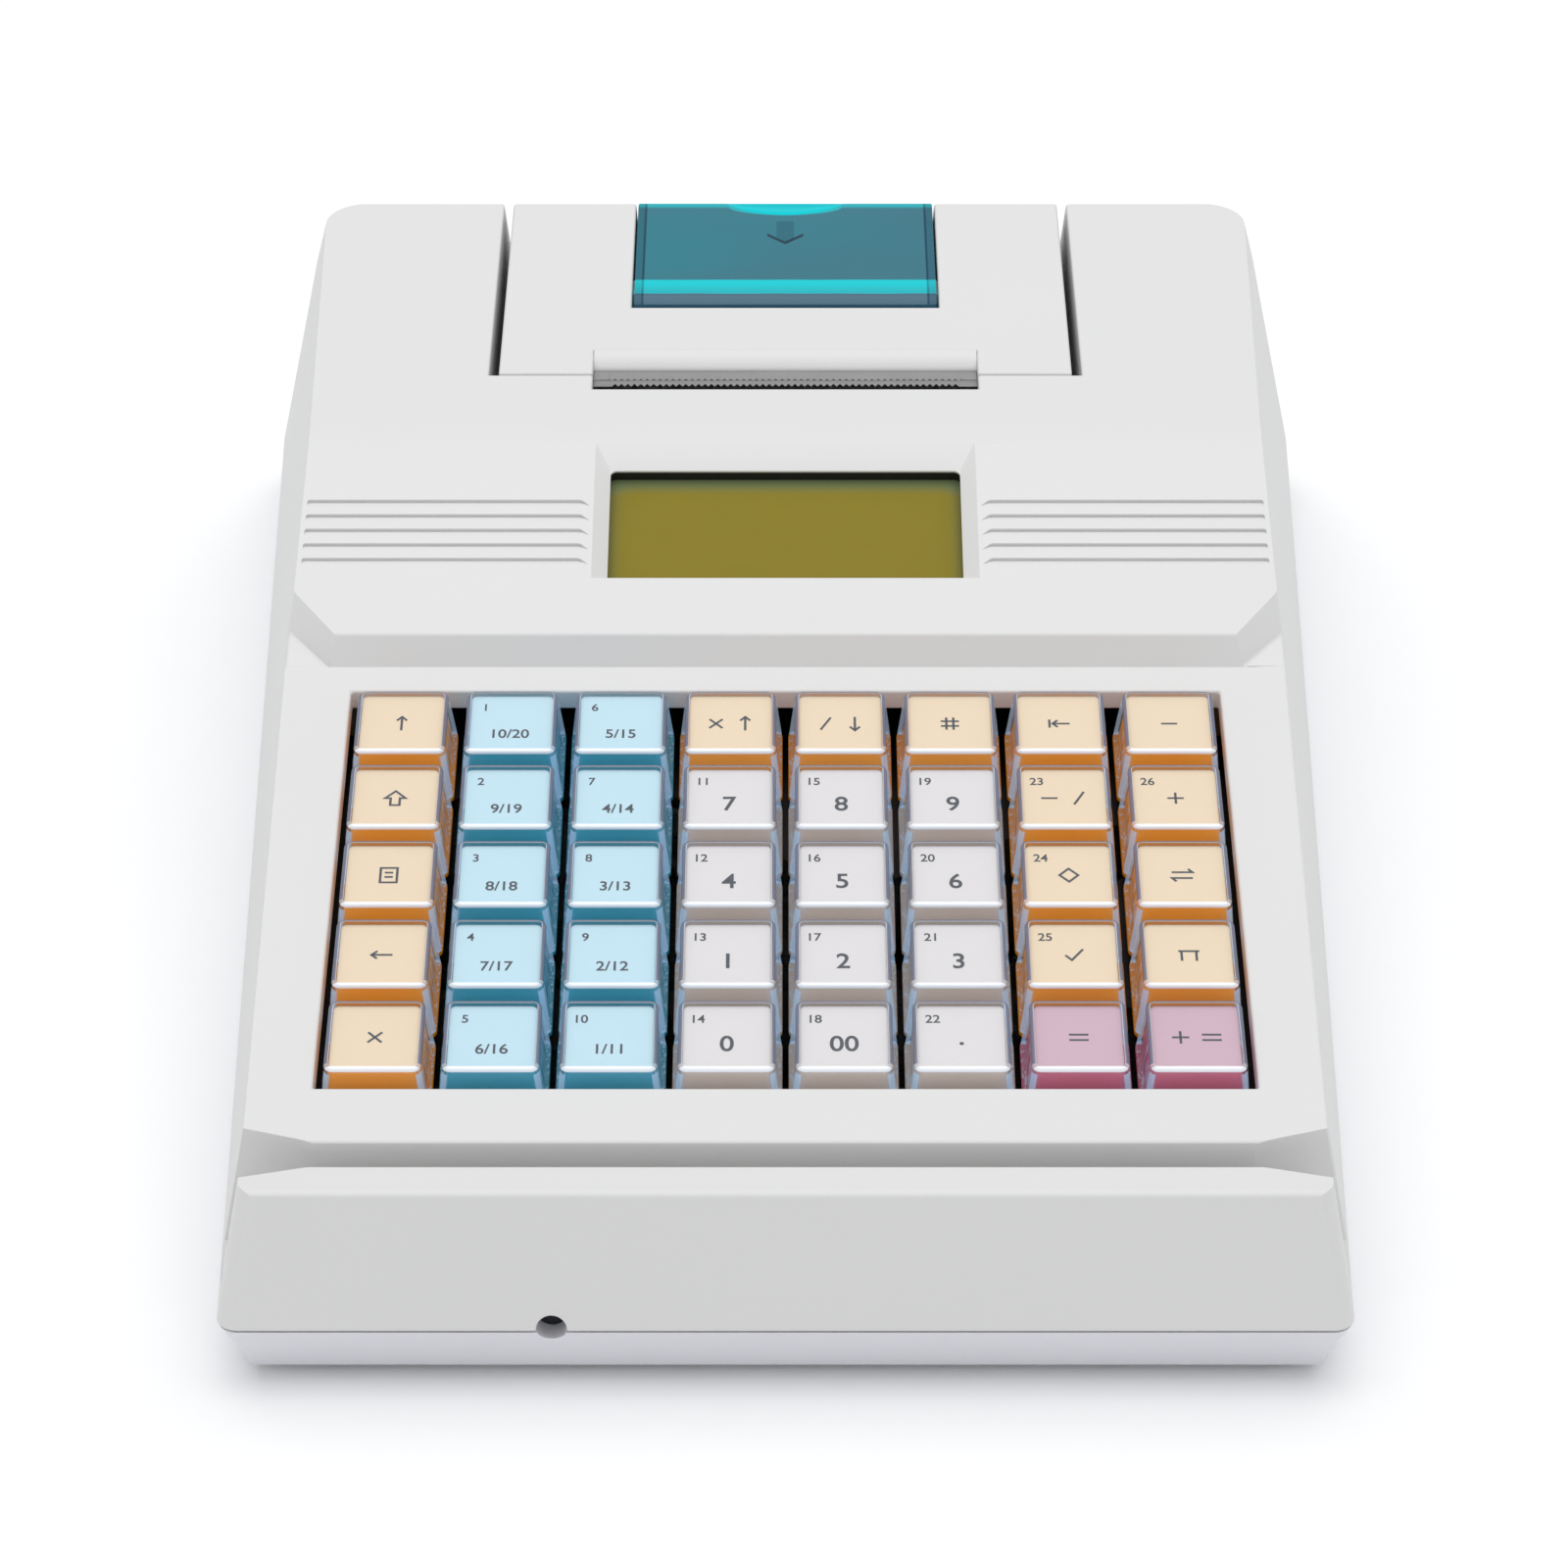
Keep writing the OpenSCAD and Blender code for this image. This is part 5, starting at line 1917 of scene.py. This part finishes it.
@dataclass
class Printer:
    """Printer mechanism, its tinted lid with the finger scoop, and the mark on it."""

    frame: Mapping[str, object]
    shaft_r: float = 2.5 * MM
    mark_w: float = 1.05 * MM
    mark_half: float = 3.5 * MM
    mark_run: float = 3.1 * MM
    shaft_half: float = 1.7 * MM
    shaft_from: float = 7.0 * MM
    tip_from: float = 15.4 * MM
    scoop_half: float = 11.7 * MM
    scoop_dip: float = 2.2 * MM
    lens_half: float = 11.2 * MM
    lens_reach: float = 3.4 * MM
    dish: float = 1.0 * MM
    lift: float = 0.03 * MM
    strip_half: float = 35.85 * MM
    teeth_pitch: float = 1.2 * MM
    teeth_rise: float = 0.32 * MM
    teeth_drop: float = 0.7 * MM
    teeth_lean: float = 1.5
    strip_t: float = 0.4 * MM
    end_run: float = 4.4 * MM
    edge_r: float = 0.12 * MM
    lid_edge_r: float = 0.4 * MM
    scoop_steps: int = 8
    scoop_sections: int = 28
    scoop_over: float = 0.02 * MM
    scoop_swell: float = 0.25 * MM
    dish_skew: float = 0.7

    def build(self) -> None:
        """Dresses the mechanism and finishes the lid."""
        low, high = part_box("platen_roller")
        platen = PlatenSurface(
            "platen_surface", (low.y + high.y) / 2, (low.z + high.z) / 2, self.shaft_r
        )
        for name, finish, radius in (
            ("platen_roller", platen, self.edge_r),
            ("platen_gear", Palette.nylon, 0.0),
            ("motor_pinion", Palette.brass, 0.0),
            ("feed_motor", Palette.can, self.edge_r),
            ("printer_frame", Palette.steel, self.edge_r),
            ("print_head", Palette.sink, self.edge_r),
            ("tear_bar", Palette.blade, 0.0),
        ):
            dress(self.frame, name, finish, Softening(radius=radius))
        add_piece("tear_teeth", self.teeth_mesh(), Palette.teeth, "cover")
        add_piece("tear_ends", self.ends_mesh(), Palette.blade, "cover")
        self.finish_lid()

    def strip(self) -> tuple[float, float, float, float]:
        """Gives the strip's front, foot and top, and half of the tear bar's width."""
        low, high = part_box("tear_bar")
        return low.y + self.lift, high.z - self.teeth_drop, high.z - self.lift, high.x

    def teeth_mesh(self) -> bpy.types.Mesh:
        """Builds the strip's turned-down front with its teeth.

        Returns:
            The mesh.
        """
        front, foot, top, bar_half = self.strip()
        teeth = int(2 * bar_half / self.teeth_pitch)
        half = teeth * self.teeth_pitch / 2
        outline = [(-self.strip_half, top), (-self.strip_half, foot), (-half, foot)]
        for tooth in range(teeth):
            x = -half + tooth * self.teeth_pitch
            outline += [(x + 0.5 * self.teeth_pitch, foot + self.teeth_rise)]
            outline += [(x + self.teeth_pitch, foot)]
        outline += [(self.strip_half, foot), (self.strip_half, top)]
        apron = Rings()
        for y in (front, front + self.strip_t):
            apron.rings.append(
                [Vector((x, y - (top - z) * self.teeth_lean, z)) for x, z in outline]
            )
        return apron.mesh("teeth")

    def ends_mesh(self) -> bpy.types.Mesh:
        """Builds the pieces that carry the strip on to the exit's ends.

        Returns:
            The mesh.
        """
        front, foot, top, bar_half = self.strip()
        corners = [
            (front + y, z)
            for y, z in (
                (self.strip_t, top + self.lift),
                (self.strip_t, foot),
                (self.end_run, foot),
                (self.end_run, top + self.lift),
            )
        ]
        built = bmesh.new()
        for side in (-1, 1):
            block = Rings()
            for x in (bar_half - self.lift, self.strip_half - self.lift):
                block.rings.append([Vector((side * x, y, z)) for y, z in corners])
            built.from_mesh(block.mesh("end"))
        return finish_mesh(built, "ends")

    def finish_lid(self) -> None:
        """Casts the lid, fills its scoop and lays the arrow on it."""
        low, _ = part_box("paper_lid")
        edge, node = RearEdge.find(), self.frame["nodes"]["paper_lid"]
        top = widest(node, Vector((0, 0, 1)))
        half = max(abs(node.data.vertices[i].co.x) for i in top.vertices)
        lid = TintedLid("teal_lid", low.y, edge.y, half, self.lens_half, self.lens_reach)
        height = {y: top_height(node, y) for y in (low.y, edge.y)}
        Recast(radius=self.lid_edge_r).make("paper_lid", lid, "lid")
        add_piece("lid_scoop", self.scoop_mesh(edge), lid, "lid")
        slope = (height[edge.y] - height[low.y]) / (edge.y - low.y)
        for name, outlines, finish in (
            ("lid_arrow", self.arrow_outlines(edge), Palette.mark),
            ("lid_shaft", self.shaft_outlines(edge), Palette.shaft),
        ):
            built = bmesh.new()
            for outline in outlines:
                corners = [
                    Vector((x, y, height[edge.y] + (y - edge.y) * slope + self.lift))
                    for x, y in outline
                ]
                built.faces.new([built.verts.new(corner) for corner in corners])
            add_piece(name, finish_mesh(built, name), finish, "lid")

    def shaft_outlines(self, edge: RearEdge) -> list[list[tuple[float, float]]]:
        """Draws the arrow's broad shaft.

        Args:
            edge: The lid's rear edge.

        Returns:
            One outline.
        """
        near, far = edge.y - self.shaft_from, edge.y - self.tip_from
        turn = far + self.mark_run * self.shaft_half / self.mark_half
        half = self.shaft_half
        return [[(-half, near), (-half, turn), (0, far), (half, turn), (half, near)]]

    def arrow_outlines(self, edge: RearEdge) -> list[list[tuple[float, float]]]:
        """Draws the two arms of the arrow's head.

        Args:
            edge: The lid's rear edge.

        Returns:
            An outline for each arm.
        """
        tip, back = edge.y - self.tip_from, edge.y - self.tip_from + self.mark_run
        arms = []
        for side in (-1, 1):
            outline = [
                (0, tip - self.mark_w / 2),
                (side * self.mark_half, back - self.mark_w / 2),
                (side * self.mark_half, back + self.mark_w / 2),
                (0, tip + self.mark_w / 2),
            ]
            arms.append(outline if side > 0 else outline[::-1])
        return arms

    def ball_r(self) -> float:
        """Gives the radius of the ball that the scoop is part of."""
        return (self.scoop_half**2 + self.scoop_dip**2) / (2 * self.scoop_dip)

    def scoop_length(self, x: float = 0.0) -> float:
        """Gives how far the scoop reaches from the rear edge along the top.

        Args:
            x: Distance from the middle.

        Returns:
            The reach.
        """
        away = (self.ball_r() - self.scoop_dip) * math.cos(self.half_bend())
        back = (self.ball_r() - self.scoop_dip) * math.sin(self.half_bend())
        return math.sqrt(self.ball_r() ** 2 - away**2 - x * x) - back

    def half_bend(self) -> float:
        """Gives half of the angle by which the rear corner falls away from the top."""
        rise = widest(self.frame["nodes"]["paper_lid"], Vector((0, 0, 1))).normal
        return (math.pi / 4 + math.atan2(-rise.y, rise.z)) / 2

    def scoop_mesh(self, edge: RearEdge) -> bpy.types.Mesh:
        """Fills the scoop behind its front rim with a shallow dish that ends at the rear edge.

        Args:
            edge: The lid's rear edge.

        Returns:
            The closed mesh.
        """
        half_bend, steps, sections = self.half_bend(), self.scoop_steps, self.scoop_sections
        tilt = 2 * half_bend - math.pi / 4
        forward = Vector((0, -math.cos(tilt), -math.sin(tilt)))
        down = Vector((0, math.sin(tilt), -math.cos(tilt)))
        crest = Vector((0, edge.y, edge.z))
        lean = half_bend - tilt
        middle = (self.ball_r() - self.scoop_dip) * Vector((0, math.sin(lean), math.cos(lean)))
        rings = Rings()
        for section in range(1, sections):
            x = self.scoop_half * math.cos(math.pi * section / sections)
            reach = self.scoop_length(x)
            share = reach / self.scoop_length()
            ring = []
            for step in range(steps + 1):
                along = 1 - step / steps
                depth = self.dish * share * math.sin(math.pi * along**self.dish_skew)
                ring.append(forward * (reach * along + self.scoop_over) + down * depth)
            ring.append(edge.fall * reach)
            front, rear = ring[0] - middle, ring[-1] - middle
            for step in range(1, steps):
                spoke = rear.lerp(front, step / steps).normalized()
                radius = math.sqrt(self.ball_r() ** 2 - x * x) + self.scoop_swell * share
                ring.append(middle + spoke * radius)
            rings.rings.append([crest + point + Vector((x, 0, 0)) for point in ring])
        return rings.mesh("lid_scoop")


def dress(frame: Mapping[str, object], name: str, finish: Finish, softening: Softening) -> None:
    """Gives a node of the frame its finish and its rounded edges.

    Args:
        frame: The loaded frame.
        name: The node's name.
        finish: Its finish.
        softening: How its edges are rounded.
    """
    node = frame["nodes"][name]
    if not node.material_slots:
        node.data.materials.append(finish.material())
    for slot in node.material_slots:
        slot.material = finish.material()
    softening.apply(node)
    LOG.info("%s dressed", name)


@dataclass(frozen=True)
class Softbox:
    """A large soft lamp that shines down, turned forward or back by its pitch in degrees."""

    name: str
    place: tuple[float, float, float]
    pitch: float
    size: Levels
    power: float

    def add(self) -> None:
        """Hangs the lamp."""
        data = bpy.data.lights.new(self.name, "AREA")
        data.shape = "RECTANGLE"
        data.size, data.size_y = self.size
        data.energy = self.power
        lamp = linked(self.name, data)
        lamp.location = self.place
        lamp.rotation_euler = (math.radians(self.pitch), 0.0, 0.0)


@dataclass
class Studio:
    """Camera, floor and soft light."""

    eye: tuple[float, float, float] = (-0.25 * MM, -773.1 * MM, 501.6 * MM)
    pitch: float = math.radians(58)
    lens_mm: float = 112.95
    sensor_mm: float = 36.0
    clip: Levels = (0.01, 50.0)
    floor_half: float = 6.0
    room_colour: Colour = (0.96, 0.98, 1.0, 1.0)
    room_strength: float = 0.555
    softboxes: tuple[Softbox, ...] = (
        Softbox("overhead", place=(0.0, 0.25, 1.9), pitch=0, size=(2.4, 2.0), power=24.2),
        Softbox("front", place=(0.0, -1.7, 1.9), pitch=42, size=(2.4, 1.2), power=5.0),
    )

    def build(self) -> None:
        """Sets up everything that isn't part of the register."""
        self.add_camera()
        self.add_floor()
        self.add_world()
        for softbox in self.softboxes:
            softbox.add()

    def add_camera(self) -> None:
        """Puts the camera in front of the register and above it."""
        data = bpy.data.cameras.new("camera")
        data.lens = self.lens_mm
        data.sensor_width = self.sensor_mm
        data.sensor_fit = "HORIZONTAL"
        data.clip_start, data.clip_end = self.clip
        camera = linked("camera", data)
        camera.location = self.eye
        camera.rotation_euler = (self.pitch, 0, 0)
        bpy.context.scene.camera = camera

    def add_floor(self) -> None:
        """Lays a plain pale floor."""
        built = bmesh.new()
        bmesh.ops.create_grid(built, x_segments=1, y_segments=1, size=self.floor_half)
        mesh = bpy.data.meshes.new("floor")
        built.to_mesh(mesh)
        built.free()
        mesh.materials.append(Palette.floor.material())
        linked("floor", mesh)

    def add_world(self) -> None:
        """Fills the room with even pale light."""
        world = bpy.data.worlds.new("room")
        world.use_nodes = True
        sky = world.node_tree.nodes["Background"]
        sky.inputs["Color"].default_value = self.room_colour
        sky.inputs["Strength"].default_value = self.room_strength
        bpy.context.scene.world = world
        bpy.context.scene.view_settings.view_transform = "Standard"


def main() -> None:
    """Builds the register round the frame."""
    logging.basicConfig(level=logging.INFO, format="%(name)s: %(message)s")
    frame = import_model()
    for assembly in (
        Studio(),
        Casework(frame),
        KeyBlock(frame),
        Display(frame),
        Printer(frame),
        Electronics(frame),
    ):
        assembly.build()


if __name__ == "__main__":
    main()
